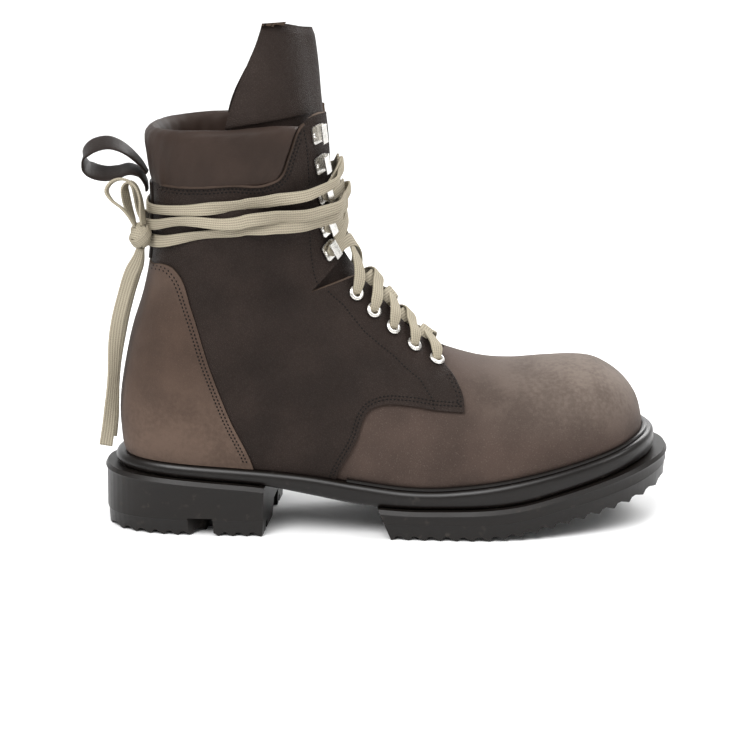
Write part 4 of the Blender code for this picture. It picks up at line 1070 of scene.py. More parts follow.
def nubuck(name, colour, speck_and_sheen_tone, painted_sheen_of):
    """Brushed leather with a short nap: cloudy, with fine paler specks, and with painted sheen: a paler haze
    where the given mask says.
    """
    look = Look(name, 0.82)
    cloud = look.noise(38, 5.0)
    fine = look.noise(420, 4.0)
    speck = look.noise(1500, 2.0)
    dark = tuple(c * 0.72 for c in colour)
    base = look.mixed(look.span(cloud, 0.30, 0.70), dark, colour)
    # Painted sheen: a patchy paler haze where the given mask says, mixed towards the paler tone.
    painted_sheen_mask = painted_sheen_of(look) * (0.45 + look.span(cloud * 0.6 + fine * 0.4, 0.36, 0.62) * 0.55)
    wear_and_sheen = look.mixed(painted_sheen_mask, base, speck_and_sheen_tone)
    look.set(base_color=look.mixed(look.span(speck, 0.55, 0.75) * 0.25, wear_and_sheen, speck_and_sheen_tone))
    pores = look.cells(1150)
    look.bumped(fine * 0.5 + speck * 0.35 + look.span(pores, 0.1, 0.6) * 0.35, nubuck_grain, 0.8)
    look.set(roughness=0.74 + fine * 0.16)
    look.shader.inputs["Sheen Weight"].default_value = 0.03
    look.shader.inputs["Sheen Roughness"].default_value = 0.6
    return look


def pebbled(name, colour, light, pebble=880, depth=0.00030):
    """Tumbled leather with a pebbled grain."""
    look = Look(name, 0.55)
    cloud = look.noise(30, 4.0)
    bent = look.noise(260, 2.0)
    edges = look.node(
        "ShaderNodeTexVoronoi",
        {"feature": "DISTANCE_TO_EDGE"},
        {"Vector": look.place, "Scale": pebble},
        "Distance",
    )
    crown = look.span(edges, 0.0, 0.30)
    fine = look.noise(2100, 2.0)
    base = look.mixed(look.span(cloud, 0.34, 0.70) * 0.6, colour, light)
    # Painted shade: the valleys between the pebbles are darkened towards a dark copy of the colour.
    look.set(base_color=look.mixed((1 - crown) * 0.30, base, tuple(c * 0.45 for c in colour)))
    look.set(roughness=0.50 + (1 - crown) * 0.22 + bent * 0.14)
    look.bumped(crown * 0.65 + bent * 0.5 + fine * 0.14, depth, 0.75)
    return look


def plain_leather(name, colour, rough):
    look = Look(name, rough)
    cloud, fine = look.noise(45, 4.0), look.noise(900, 3.0)
    look.set(base_color=look.mixed(look.span(cloud, 0.3, 0.7), tuple(c * 0.75 for c in colour), colour))
    look.set(roughness=rough - 0.06 + fine * 0.14)
    look.bumped(fine + look.cells(1400) * 0.4, plain_grain, 0.7)
    return look


def rubber(name, colour, rough):
    look = Look(name, rough)
    cloud, fine, scuff = look.noise(60, 4.0), look.noise(1300, 3.0), look.noise(190, 6.0)
    wear_and_sheen = look.span(scuff, 0.60, 0.72) * look.span(look.z, 0.055, 0.0)
    base = look.mixed(look.span(cloud, 0.3, 0.7), tuple(c * 0.8 for c in colour), colour)
    look.set(base_color=look.mixed(wear_and_sheen * 0.30, base, (0.075, 0.062, 0.052)))
    look.set(roughness=rough - 0.07 + cloud * 0.14 + wear_and_sheen * 0.2)
    look.bumped(fine * 0.6 + scuff * 0.6, rubber_grain, 0.6)
    look.shader.inputs["Coat Weight"].default_value = 0.05
    look.shader.inputs["Specular IOR Level"].default_value = 0.30
    look.shader.inputs["Coat Roughness"].default_value = 0.30
    return look


def woven(name, colour):
    """Flat cotton lace: lengthwise ribs crossed by fine slanting yarns."""
    look = Look(name, 0.88)
    along = look.node("ShaderNodeUVMap", {"uv_map": "weave"})
    parts = {axis: look.node("ShaderNodeSeparateXYZ", sockets={0: along}, out=axis) for axis in "XY"}
    ribs = look.node("ShaderNodeMath", {"operation": "SINE"}, {0: parts["X"] * (2 * math.pi * 5)})
    slant = parts["Y"] * 5200.0 + ribs * 1.4
    yarns = look.node("ShaderNodeMath", {"operation": "SINE"}, {0: slant})
    cloud, fuzz = look.noise(110, 4.0), look.noise(3000, 2.0)
    raised = look.span(ribs * 0.6 + yarns * 0.4, -0.9, 0.7)
    # Painted shade: the grooves between the ribs and yarns are darkened towards a dark copy of the colour.
    dark = tuple(c * 0.52 for c in colour)
    base = look.mixed(raised * 0.75 + cloud * 0.25, dark, colour)
    look.set(base_color=look.mixed(look.span(cloud, 0.5, 0.75) * 0.25, base, tuple(c * 0.7 for c in colour)))
    look.bumped(ribs * 0.55 + yarns * 0.35 + fuzz * 0.4, weave_depth, 0.8)
    return look


def metal(name, colour, rough):
    look = Look(name, rough, 1.0)
    fine = look.noise(1400, 3.0)
    cloud = look.span(look.noise(240, 4.0), 0.4, 0.8)
    look.set(base_color=look.mixed(cloud, colour, tuple(c * 0.72 for c in colour)))
    look.set(roughness=rough - 0.05 + fine * 0.16)
    look.bumped(fine, metal_grain, 0.2)
    return look


def toe_painted_sheen(look):
    """Painted sheen: a paler haze on the toe's crown and along the vamp's ridge, where the light falls on the
    top.
    """
    return look.span(look.x, 0.130, 0.225) * look.span(look.z, 0.046, 0.082)


def heel_painted_sheen(look):
    """Painted sheen: a paler haze low on the heel, and along the counter's top."""
    return (1 - look.span(look.z, 0.050, 0.105)) * 0.8 + look.span(look.z, 0.120, 0.142) * 0.30


def make_looks():
    return {
        # The second colour of each nubuck is the paler tone of its fine specks and of its painted sheen.
        "vamp": nubuck("vamp_nubuck", (0.060, 0.040, 0.032), (0.150, 0.120, 0.100), toe_painted_sheen),
        "counter": nubuck("counter_nubuck", (0.064, 0.040, 0.029), (0.120, 0.081, 0.061), heel_painted_sheen),
        "quarter": pebbled("quarter_grain", (0.0150, 0.0094, 0.0072), (0.030, 0.0196, 0.0156)),
        "tongue": pebbled("tongue_grain", (0.0180, 0.0112, 0.0086), (0.030, 0.0200, 0.0160), 1000, 0.00026),
        "collar": plain_leather("collar_leather", (0.034, 0.0212, 0.0160), 0.60),
        "lining": plain_leather("lining_leather", (0.0130, 0.0085, 0.0065), 0.80),
        "edge": plain_leather("raw_leather_edge", (0.105, 0.072, 0.052), 0.85),
        "seam": plain_leather("seam_cord", (0.052, 0.034, 0.025), 0.70),
        "thread": plain_leather("thread", (0.0030, 0.0022, 0.0018), 0.70),
        "strap": plain_leather("strap_webbing", (0.0170, 0.0112, 0.0090), 0.50),
        "midsole": rubber("midsole_satin", (0.0050, 0.0034, 0.0026), 0.34),
        "outsole": rubber("outsole_satin", (0.0062, 0.0044, 0.0034), 0.46),
        "lace": woven("cotton_weave", (0.410, 0.362, 0.272)),
        "metal": metal("bright_metal", (0.78, 0.76, 0.72), 0.24),
    }


def dress(thing, looks, kinds, nodes):
    """Gives a piece its materials and body, and hides the nodes that it replaces."""
    if not thing.data.materials:
        for kind in kinds:
            thing.data.materials.append(looks[kind].material)
    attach(thing, "root")
    if nodes:
        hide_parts(*nodes)
    return thing


def face_kinds(thing):
    """Marks a panel's faces: 0 outside, 1 raw edge, 2 inside."""
    rows = np.linspace(0, COLLAR_ROW, 260)[:, None]
    turns = np.linspace(0, 2 * math.pi, 240, endpoint=False)[None, :]
    places = form_shell_point(rows, turns, 0.0)
    normals = form_shell_point(rows, turns, 0.001) - places
    normals /= np.maximum(np.linalg.norm(normals, axis=-1, keepdims=True), 1e-9)
    normals = normals.reshape(-1, 3)
    tree = kdtree.KDTree(len(normals))
    for k, place in enumerate(places.reshape(-1, 3)):
        tree.insert(place, k)
    tree.balance()
    for face in thing.data.polygons:
        facing = float(np.dot(normals[tree.find(face.center)[1]], face.normal))
        face.material_index = 0 if facing > EDGE_FACING else (2 if facing < -EDGE_FACING else 1)


def make_upper(looks, cutters):
    upper = form_shell("upper_leather", 0.0, -wall)
    for tool in cutters:
        cut(upper, tool)
    settle(upper)
    dress(upper, looks, ("vamp", "edge", "lining"), ("upper",))
    face_kinds(upper)


def make_quarters(looks, cutters, edges):
    high = shaft_height * 2
    rear = [(x + gap, z + gap) for x, z in edges["counter"]]
    front = edges["front"]
    outline = front + [(front[-1][0], high), (rear[0][0] - margin, high)]
    outline += [(rear[0][0] - margin, rear[0][1])] + rear
    for side, span in (("outer", (-ball_width, -gap / 2)), ("inner", (gap / 2, ball_width))):
        panel = form_shell("quarter_%s_leather" % side, gap + quarter_thickness, gap, QUARTER_ROW)
        cut(panel, cutter("quarter_%s_outline" % side, *prism(outline, span)), "INTERSECT")
        for tool in cutters:
            cut(panel, tool)
        settle(panel)
        dress(panel, looks, ("quarter", "edge", "lining"), ("quarter_" + side,))
        face_kinds(panel)


def make_counter(looks, floor, edges):
    counter = form_shell("counter_leather", gap + counter_thickness, gap, COUNTER_ROW)
    edge = edges["counter"]
    outline = edge + [(edge[0][0] - margin, -margin), (edge[0][0] - margin, edge[0][1])]
    cut(counter, cutter("counter_outline", *prism(outline, ball_width)), "INTERSECT")
    cut(counter, floor)
    settle(counter)
    dress(counter, looks, ("counter", "edge", "lining"), ("counter",))
    face_kinds(counter)


def closed_curve(points, count):
    """Evenly counted points on a smooth closed curve through a few points."""
    points = np.asarray(points, float)
    found = []
    for step in range(count):
        at = step * len(points) / count
        k, u = int(at), at - int(at)
        a, b, c, d = (points[(k + n) % len(points)] for n in (-1, 0, 1, 2))
        found.append(b + 0.5 * u * (c - a + u * (2 * a - 5 * b + 4 * c - d + u * (3 * (b - c) + d - a))))
    return np.array(found)


def make_collar(looks, below):
    """The padded band round the shaft's top, full between its seam and its rim."""
    profile = np.array(PAD_PROFILE)
    outside, inside = profile[:, (0, 1)], profile[::-1][:, (0, 2)]
    section = closed_curve(np.vstack([outside, inside]), 44)
    shares, depths = section[:, 0], section[:, 1] * pad_bulge
    span = np.array(PAD_SPAN)
    rings = []
    for place in np.linspace(-1, 1, 181):
        fullness = 1 - 0.55 * float(eased((abs(place) - 0.93) / 0.07))
        front = PAD_FRONT[0] + (PAD_FRONT[1] - PAD_FRONT[0]) * np.clip(shares, 0, 1)
        degrees = 180 - abs(place) * (180 - front)
        seam = curve_value(span[:, 0], span[:, 1], degrees)
        rim = curve_value(span[:, 0], span[:, 2], degrees)
        rows = seam + (rim - seam) * shares
        turns = np.radians(degrees) * (1 if place < 0 else -1)
        pucker = pad_pucker * np.sin(place * 61) * np.sin(shares * 5 + place * 17)
        rings.append(list(form_shell_point(rows, turns, depths * fullness + pucker)))
    collar = add_object("collar_pad", *loft(rings))
    settle(cut(collar, below))
    dress(collar, looks, ("collar",), ("collar",))


def sheet_patch(name, rows, turns, outer, inner):
    """A closed sheet over a grid of rows and turns, between two offsets."""
    down, across = rows.shape
    points = [form_shell_point(rows, turns, offset).reshape(-1, 3) for offset in (outer, inner)]
    size = down * across
    faces = []
    for row in range(down - 1):
        for k in range(across - 1):
            a = row * across + k
            face = (a, a + 1, a + 1 + across, a + across)
            faces += [face, tuple(size + v for v in face[::-1])]
    border = list(range(across))
    border += [row * across + across - 1 for row in range(1, down)]
    border += [(down - 1) * across + k for k in range(across - 2, -1, -1)]
    border += [row * across for row in range(down - 2, 0, -1)]
    for a, b in zip(border, border[1:] + border[:1]):
        faces.append((b, a, size + a, size + b))
    return add_object(name, np.vstack(points), faces)


def make_tongue(looks):
    table = np.array(TONGUE)
    across = np.sin(np.linspace(-1, 1, 91) * math.pi / 2)
    steps = np.linspace(0, len(table) - 1, 200)
    row, spread, depth = (curve_value(range(len(table)), table[:, k], steps) for k in range(3))
    rows = row[:, None] + tongue_tilt * across[None, :] * np.clip(row[:, None] - 26, 0, 2)
    rows = np.where(rows > COLLAR_ROW, COLLAR_ROW + (rows - COLLAR_ROW) * tongue_trim, rows)
    turns = np.radians(spread)[:, None] * across[None, :]
    depths = np.repeat(depth[:, None], len(across), 1) * tongue_depth
    depths -= tongue_lift * eased((rows - 22.5) / 3) * np.exp(-((np.degrees(turns) / 15) ** 2))
    wave = tongue_wave * np.sin(rows * 1.9 + across[None, :] * 2.2) * eased((rows - 18) / 6)
    edge = np.minimum(1 - np.abs(across)[None, :], (steps[-1] - steps)[:, None] * 0.10)
    thin = tongue_thickness * 0.36 * (1 - eased(edge / 0.022))
    outer, inner = wave - depths - thin, wave - depths - tongue_thickness + thin
    tongue = sheet_patch("tongue_leather", rows, turns, outer, inner)
    dress(tongue, looks, ("tongue", "edge", "lining"), ("tongue",))
    for face in tongue.data.polygons:
        if len(face.vertices) == 4:
            halves = sum(1 for v in face.vertices if v >= len(rows.reshape(-1)))
            face.material_index = {0: 0, 4: 2}.get(halves, 1)


def strap_section(width, thick):
    """Points round a strap's section: across and through, with rounded edges."""
    points = []
    for k in range(STRAP_SIDES):
        angle = 2 * math.pi * (k + 0.5) / STRAP_SIDES
        a, n = math.cos(angle), math.sin(angle)
        wide = math.copysign(abs(a) ** STRAP_SQUARE[0], a) * width / 2
        points.append((wide, math.copysign(abs(n) ** STRAP_SQUARE[1], n) * thick / 2))
    return points


def flat_strip(name, points, across, widths, thicks, closed=False):
    """A strap along points. Across gives the direction of its width, and its mesh has
    a map named weave: across it, and metres along it."""
    points, across = np.asarray(points, float), np.asarray(across, float)
    run = np.roll(points, -1, 0) - np.roll(points, 1, 0) if closed else np.gradient(points, axis=0)
    run /= np.linalg.norm(run, axis=1, keepdims=True)
    across = across - run * (across * run).sum(1, keepdims=True)
    across /= np.linalg.norm(across, axis=1, keepdims=True)
    through = np.cross(run, across)
    widths, thicks = np.broadcast_to(widths, len(points)), np.broadcast_to(thicks, len(points))
    metres = np.concatenate([[0], np.cumsum(np.linalg.norm(np.diff(points, axis=0), axis=1))])
    rings, marks = [], []
    for k, place in enumerate(points):
        section = strap_section(widths[k], thicks[k])
        rings.append([place + across[k] * a + through[k] * n for a, n in section])
        marks.append([(a / widths[k] + 0.5, metres[k]) for a, n in section])
    count = len(rings[0])
    flat = [p for ring in rings for p in ring]
    faces, corners = [], []
    rows = len(rings) if closed else len(rings) - 1
    for row in range(rows):
        nxt = (row + 1) % len(rings)
        for k in range(count):
            n = (k + 1) % count
            faces.append((row * count + k, row * count + n, nxt * count + n, nxt * count + k))
            far = marks[nxt] if nxt else [(u, metres[-1] + LACE_STEP) for u, _ in marks[0]]
            corners.append((marks[row][k], marks[row][n], far[n], far[k]))
    if not closed:
        for row, order in ((0, 1), (len(rings) - 1, -1)):
            faces.append(tuple(row * count + k for k in range(count))[::-order])
            corners.append(tuple(marks[row])[::-order])
    mesh = bpy.data.meshes.new(name)
    mesh.from_pydata([tuple(float(v) for v in p) for p in flat], [], faces)
    layer = mesh.uv_layers.new(name="weave")
    for face, marked in zip(mesh.polygons, corners):
        for loop, mark in zip(face.loop_indices, marked):
            layer.data[loop].uv = mark
    work = bmesh.new()
    work.from_mesh(mesh)
    if work.calc_volume(signed=True) < 0:
        bmesh.ops.reverse_faces(work, faces=work.faces)
    work.to_mesh(mesh)
    work.free()
    mesh.shade_smooth()
    thing = bpy.data.objects.new(name, mesh)
    bpy.context.scene.collection.objects.link(thing)
    return thing


def joined(name, things):
    """One object from several, with their maps kept."""
    bpy.ops.object.select_all(action="DESELECT")
    for thing in things:
        thing.select_set(True)
    bpy.context.view_layer.objects.active = things[0]
    bpy.ops.object.join()
    things[0].name = name
    return things[0]


def make_straps(looks):
    steps = np.linspace(*BACKSTAY_ROWS, 40)
    across = np.linspace(-1, 1, 21)
    rows = np.repeat(steps[:, None], len(across), 1)
    turns = math.pi + np.repeat(across[None, :], len(steps), 0) * backstay_half_turn
    seat = gap + quarter_thickness + gap
    crown = strap_thickness * (1 - 0.55 * np.abs(across[None, :]) ** 8) + rows * 0
    backstay = sheet_patch("backstay_strap", rows, turns, seat + crown, rows * 0 + seat)
    dress(backstay, looks, ("strap",), ("backstay",))

    route = np.array(PULL_LOOP)
    steps = np.linspace(0, len(route) - 1, 150)
    line = np.stack([curve_value(range(len(route)), route[:, k], steps) for k in (0, 1)], 1)
    points = np.stack([line[:, 0], line[:, 0] * 0, line[:, 1]], 1)
    rolled = pull_loop_roll * np.sin(np.linspace(0, math.pi, len(points)))
    across = [(0, math.cos(angle), math.sin(angle)) for angle in rolled]
    loop = flat_strip("pull_loop_strap", points, across, strap_width, strap_thickness)
    dress(loop, looks, ("strap",), ("pull_loop",))


def make_soles(looks, feather):
    def midsole_line(inset):
        return stand_out(feather, midsole_side - inset, midsole_heel - inset, midsole_toe - inset)

    def lifted(name, rise):
        return lambda x: sole_height(name, x) + rise

    half = midsole_round
    stations = end_spacing(SOLE_STATIONS)
    levels = (
        (0.90, "crease", gap), (0.45, "crease", half * 0.35), (0.12, "crease", half * 0.9),
        (0.0, "crease", half * 1.6),
        (0.0, "feather", -half * 1.5), (0.1, "feather", -half * 1.0), (0.34, "feather", -half * 0.55),
        (0.70, "feather", -half * 0.2), (1.2, "feather", 0.0),
    )
    rings = []
    for inset, line, rise in levels:
        rings.append(station_ring(midsole_line(half * inset), lifted(line, rise), stations))
    midsole = layer("midsole_rubber", rings)
    dress(settle(midsole), looks, ("midsole",), ("midsole",))

    def fore_start(z):
        x = fore_rear - fore_rear_lean * z / (stack_height * 0.43)
        return (x, x)

    def heel_stop(z):
        outer = heel_front + heel_front_lean * z / stack_height
        return (outer, outer + math.tan(heel_front_turn) * ball_width * 0.8)

    fore_stations, heel_stations = end_spacing(SOLE_STATIONS, "start"), end_spacing(HEEL_STATIONS, "stop")
    outsole = layer("outsole_rubber", outsole_wall(feather, fore_stations, fore_start, None))
    heel = layer("heel_rubber", outsole_wall(feather, heel_stations, None, heel_stop))
    fore_teeth = int((outsole.bound_box[4][0] - fore_rear) / fore_pitch)
    cut_tread(outsole, feather, tooth_comb(fore_rear + first_hollow, fore_pitch, fore_teeth))
    heel_end = heel.bound_box[0][0] + heel_first_hollow
    heel_teeth = int((heel_front - heel_end) / heel_pitch)
    cut_tread(heel, feather, tooth_comb(heel_end, heel_pitch, heel_teeth))
    notch = box(heel_notch_at, (heel_notch, heel_notch_run, 2 * heel_notch_height), heel_notch_turn)
    cut(heel, cutter("heel_notch", *notch))
    for number in range(3):
        x = fore_rear + groove_spacing * (1 + number) * (outsole.bound_box[4][0] - fore_rear)
        z = float(sole_height("tread", x)) + tread_depth / 2 - margin / 2
        points, faces = box((x, 0, z), (lug_channel, ball_width * 0.7, tread_depth + margin))
        cut(outsole, cutter("fore_groove_%d" % (number + 1), points, faces))
    for unit, node in ((outsole, "outsole"), (heel, "heel")):
        dress(settle(unit), looks, ("outsole",), (node,))


def over_feather(rise):
    """A line's height: that much above the feather line."""
    return lambda x: sole_height("feather", x) + rise


def make_welt_and_insole(looks, feather):
    higher = feather_outline(welt_height)
    inner_low, inner_high = stand_out(feather, *[3 * gap] * 3), stand_out(higher, *[3 * gap] * 3)
    outer = stand_out(feather, *[3 * gap + welt_width] * 3)
    share = np.sin(np.linspace(0, math.pi / 2, 120))
    start = along_x(welt_start)
    sections = []
    middle = (outer + inner_high) / 2
    for line, rise in (
        (inner_low, gap), (outer, gap), (outer, welt_height * 0.55),
        (outer * 0.8 + middle * 0.2, welt_height * 0.8), (middle, welt_height * 0.97),
        (inner_high, welt_height),
    ):
        left, right = station_ring(line, over_feather(rise), share, (start, start))
        sections.append(np.vstack([left, right[::-1][1:]]))
    rings = [[section[k] for section in sections] for k in range(len(sections[0]))]
    welt = add_object("welt_rib", *loft(rings))
    dress(welt, looks, ("midsole",), ("welt",))

    inset = wall + 8 * gap
    rings = []
    for rise in (gap, gap + insole_thickness):
        line = stand_out(feather, -inset, -inset, -inset)
        rings.append(station_ring(line, over_feather(rise), end_spacing(60)))
    dress(layer("insole_board", rings), looks, ("lining",), ("insole",))


def make_eyelets(looks):
    """Ten rolled rings, and the cutter for the holes that they sit in."""
    points, faces = [], []
    depth = quarter_thickness + gap + wall
    barrel, rim, seat = eyelet_hole - gap, eyelet_flange, 3 * gap
    profile = [(eyelet_bore, -depth), (barrel, -depth), (barrel, seat), (rim * 0.97, seat)]
    for step in range(7):
        angle = math.pi * step / 6
        middle, reach = (rim + eyelet_bore) / 2, (rim - eyelet_bore) / 2
        profile.append((middle + reach * math.cos(angle), seat + 0.0002 + eyelet_lip * math.sin(angle)))
    for side, sign in (("outer", 1), ("inner", -1)):
        for number, (row, degrees) in enumerate(EYELETS):
            place, *axes = surface_frame(row, sign * degrees, gap + quarter_thickness)
            rings = tube_rings(place, axes, profile, eyelet_sides)
            name = "eyelet_%s_%d" % (side, number + 1)
            ring = add_object(name + "_ring", *closed_rings(rings))
            dress(ring, looks, ("metal",), (name,))
            reach = wall * 4
            hole = tube_rings(place, axes, ((eyelet_hole, -reach), (eyelet_hole, reach)), eyelet_sides)
            more, sides = loft(hole)
            faces += [tuple(len(points) + v for v in face) for face in sides]
            points += more
    return cutter("eyelet_holes", points, faces)


def make_hooks(looks):
    """Speed hooks: a plate with its rivet, bent over at the front into a flap."""
    line = [(-hook_plate, 0.0), (-0.0010, 0.0), (hook_neck, 0.0)]
    for step in range(12):
        angle = math.radians(-78 + 158 * step / 11)
        line.append((hook_neck + hook_bend * math.cos(angle), hook_bend + hook_bend * math.sin(angle)))
    line += [(0.0004, 2.06 * hook_bend), (-hook_neck, 2.05 * hook_bend)]
    line = np.array(line)
    run = np.gradient(line, axis=0)
    run /= np.linalg.norm(run, axis=1, keepdims=True)
    side = np.stack([run[:, 1], -run[:, 0]], 1) * hook_metal / 2
    outline = np.vstack([line + side, (line - side)[::-1]])
    inner = np.vstack([line + side * 0.4, (line - side * 0.4)[::-1]])
    seat = quarter_thickness + hook_metal / 2
    for name, sign in (("outer", 1), ("inner", -1)):
        for number, (row, degrees, gaps) in enumerate(HOOKS):
            place, normal, ahead, up = surface_frame(row, sign * degrees, seat + gaps * gap)
            rings = []
            for end, pull in HOOK_CORNER:
                shape = inner if end == HOOK_CORNER[0][0] else outline
                ring = [place + ahead * max(a, pull - hook_plate) + normal * n for a, n in shape]
                rings.insert(len(rings) // 2, [p + up * end * hook_height for p in ring])
                rings.insert(len(rings) // 2, [p - up * end * hook_height for p in ring])
            hook = add_object("hook_%s_%d_metal" % (name, number + 1), *loft(rings))
            centre = place - ahead * (hook_plate - rivet * 1.25) + normal * hook_metal * 0.45
            dome = [(rivet * math.cos(a), rivet_height * math.sin(a)) for a in np.linspace(0, 1.45, 7)]
            head = add_object("rivet", *loft(tube_rings(centre, (normal, ahead, up), dome, 20)))
            hook = joined("hook_%s_%d_metal" % (name, number + 1), [hook, head])
            dress(hook, looks, ("metal",), ("hook_%s_%d" % (name, number + 1),))


def make_stitches(looks, edges):
    """Rows of short stitches sunk in the leather beside the panels' edges."""
    places = []
    for sign in (1, -1):
        for number, (edge, way, distance) in enumerate(STITCHED):
            line = spaced(offset_line(edges[edge], way * distance), stitch_pitch)
            if number % 2:
                line = (line[1:] + line[:-1]) / 2
            seat = gap + (counter_thickness if edge == "counter" else quarter_thickness)
            found = form_places([p for p in line if stitched_there(edge, p)], sign)
            for (t, turn), ahead in zip(found, found[1:] + found[-1:]):
                places.append((t, turn, seat, ahead))
        for table in FACING_STITCHES:
            table = np.array(table)
            at = np.linspace(0, len(table) - 1, 400)
            line = np.stack([np.interp(at, range(len(table)), table[:, k]) for k in (0, 1)], 1)
            world = form_point(line[:, 0], np.radians(line[:, 1]))
            run = np.concatenate([[0], np.cumsum(np.linalg.norm(np.diff(world, axis=0), axis=1))])
            for metres in np.arange(0.001, run[-1], stitch_pitch):
                t, degrees = (float(np.interp(metres, run, line[:, k])) for k in (0, 1))
                t2, degrees2 = (float(np.interp(metres + 0.001, run, line[:, k])) for k in (0, 1))
                ahead = (t2, sign * math.radians(degrees2))
                places.append((t, sign * math.radians(degrees), gap + quarter_thickness, ahead))
    points, faces = [], []
    for t, turn, seat, nearby in places:
        here = leather_point(t, turn, np.asarray(seat))
        normal = leather_point(t, turn, np.asarray(seat + 0.001)) - here
        normal /= np.linalg.norm(normal)
        run = form_point(*nearby) - form_point(t, turn)
        run -= normal * (run @ normal)
        if np.linalg.norm(run) < 1e-6:
            continue
        run /= np.linalg.norm(run)
        wide = np.cross(normal, run)
        start = len(points)
        for height, reach in ((-0.0002, 1.0), (0.00012, 0.92), (0.00026, 0.5)):
            for k in range(8):
                angle = 2 * math.pi * k / 8
                a, b = math.cos(angle) * stitch_length / 2, math.sin(angle) * stitch_width / 2
                points.append(here + normal * height + (run * a + wide * b) * reach)
        for ring in range(2):
            for k in range(8):
                n = (k + 1) % 8
                low = start + ring * 8
                faces.append((low + k, low + n, low + 8 + n, low + 8 + k))
        faces.append(tuple(range(start, start + 8))[::-1])
        faces.append(tuple(range(start + 16, start + 24)))
    mesh = bpy.data.meshes.new("stitches")
    mesh.from_pydata([tuple(float(v) for v in p) for p in points], [], faces)
    mesh.shade_smooth()
    stitches = bpy.data.objects.new("stitches", mesh)
    bpy.context.scene.collection.objects.link(stitches)
    dress(stitches, looks, ("thread",), ())


def stitched_there(edge, place):
    """Stitches stop where a panel's edge runs under another piece or off the boot."""
    x, z = place
    rise = (z - float(sole_height("feather", x))) / shaft_height
    if edge == "front":
        return rise > 0.010 and (x < along_x(0.640)) and rise < 0.33
    if edge == "collar":
        return along_x(0.085) < x < along_x(0.345)
    return rise > 0.015 and x > along_x(0.060)


def make_seam(looks, edges):
    """A thin rolled cord where the pad is sewn on."""
    cords = []
    for sign in (1, -1):
        line = [p for p in spaced(edges["collar"], 0.0015) if along_x(0.088) < p[0] < along_x(0.350)]
        places = form_places(line, sign)
        seat = np.asarray(gap + quarter_thickness + seam_lift)
        points = [leather_point(t, turn, seat) for t, turn in places]
        cords.append(flat_strip("seam", points, [(0, 0.3, 1)] * len(points), *SEAM_SIZE))
    dress(joined("collar_seam", cords), looks, ("seam",), ())


def lace_path(places):
    """Points, widths and thicknesses of a lace from rows of row, degrees, offset, width
    and thickness, and the leather's normals beside it."""
    table = np.array(places)
    rough = np.array([form_shell_point(r, math.radians(d), np.asarray(o)) for r, d, o in table[:, :3]])
    run = np.concatenate([[0], np.cumsum(np.linalg.norm(np.diff(rough, axis=0), axis=1))])
    at = np.linspace(0, run[-1], int(run[-1] / LACE_STEP) + 2)
    points = np.stack([curve_value(run, rough[:, k], at) for k in range(3)], 1)
    widths, thicks = (np.interp(at, run, table[:, k]) for k in (3, 4))
    normals = []
    for row, degrees, offset in table[:, :3]:
        here = form_shell_point(row, math.radians(degrees), np.asarray(offset))
        normals.append(form_shell_point(row, math.radians(degrees), np.asarray(offset + 0.001)) - here)
    normals = np.stack([np.interp(at, run, np.array(normals)[:, k]) for k in range(3)], 1)
    return points, normals, widths, thicks


def lace_on_leather(name, places):
    points, normals, widths, thicks = lace_path(places)
    run = np.gradient(points, axis=0)
    return flat_strip(name, points, np.cross(run, normals), widths, thicks)


def make_lacing(looks):
    """Bars that come out of each eyelet, cross the ridge and go under the other facing,
    then two strands that cross from hook to hook."""
    strips = []
    hole, full, thick, thin = lace_in_hole, lace_width, lace_thickness, lace_pressed
    for first in (1, -1):
        for k, (row, degrees) in enumerate(EYELETS[:-1]):
            sign = first * (1 if k % 2 == 0 else -1)
            far_row, far_degrees = EYELETS[k + 1]
            over = BAR_OVER_RIDGE[0 if first > 0 else 1]
            strips.append(lace_on_leather("bar", (
                (row, sign * degrees, -0.0016, hole, thick),
                (row + 0.01, sign * degrees, 0.0030, hole * 1.25, thick * 1.2),
                (row + 0.12, sign * (degrees - 3.4), 0.0056, full * 0.88, thick * 1.3),
                (row * 0.65 + far_row * 0.35, sign * degrees * 0.45, 0.0040, full, thick),
                ((row + far_row) / 2, 0.0, over, full, thick),
                (
                    row * 0.30 + far_row * 0.70, -sign * far_degrees * 0.42,
                    over * 0.4, full * 0.95, thick * 0.8,
                ),
                (far_row - 0.12, -sign * far_degrees * 0.64, -0.0024, full * 0.8, thin),
                (far_row, -sign * far_degrees, -0.0026, full * 0.7, thin),
            )))
        row, degrees = EYELETS[-1]
        stops = HOOKS[:3]
        sign = first
        places = [
            (row, sign * degrees, -0.0016, hole, thick),
            (row + 0.02, sign * degrees, 0.0030, hole * 1.25, thick * 1.2),
            (row + 0.22, sign * (degrees - 4), 0.0056, full * 0.88, thick * 1.3),
        ]
        for k, (hook_row, hook_turn, _) in enumerate(stops):
            lift = STRAND_OVER_RIDGE[0 if first > 0 else 1]
            middle = (places[-1][0] + hook_row) / 2
            places.append((middle, sign * 6.0, lift + 0.0010, full, thick))
            sign = -sign
            places += [
                (hook_row - 0.42, sign * (hook_turn - 13.0), 0.0040, full * 0.86, thick),
                (hook_row - 0.24, sign * (hook_turn - 2.0), 0.0046, full * 0.62, thick),
                (hook_row, sign * (hook_turn + 1.5), 0.0046, full * 0.56, thick),
                (hook_row + 0.24, sign * (hook_turn - 2.0), 0.0046, full * 0.62, thick),
                (hook_row + 0.42, sign * (hook_turn - 13.0), 0.0040, full * 0.86, thick),
            ]
        places.append((HOOKS[2][0] + 0.8, sign * 4.0, 0.0030 + 0.0016 * (first < 0), full, thick))
        strips.append(lace_on_leather("strand", places))
    dress(joined("lacing", strips), looks, ("lace",), ("lace",))


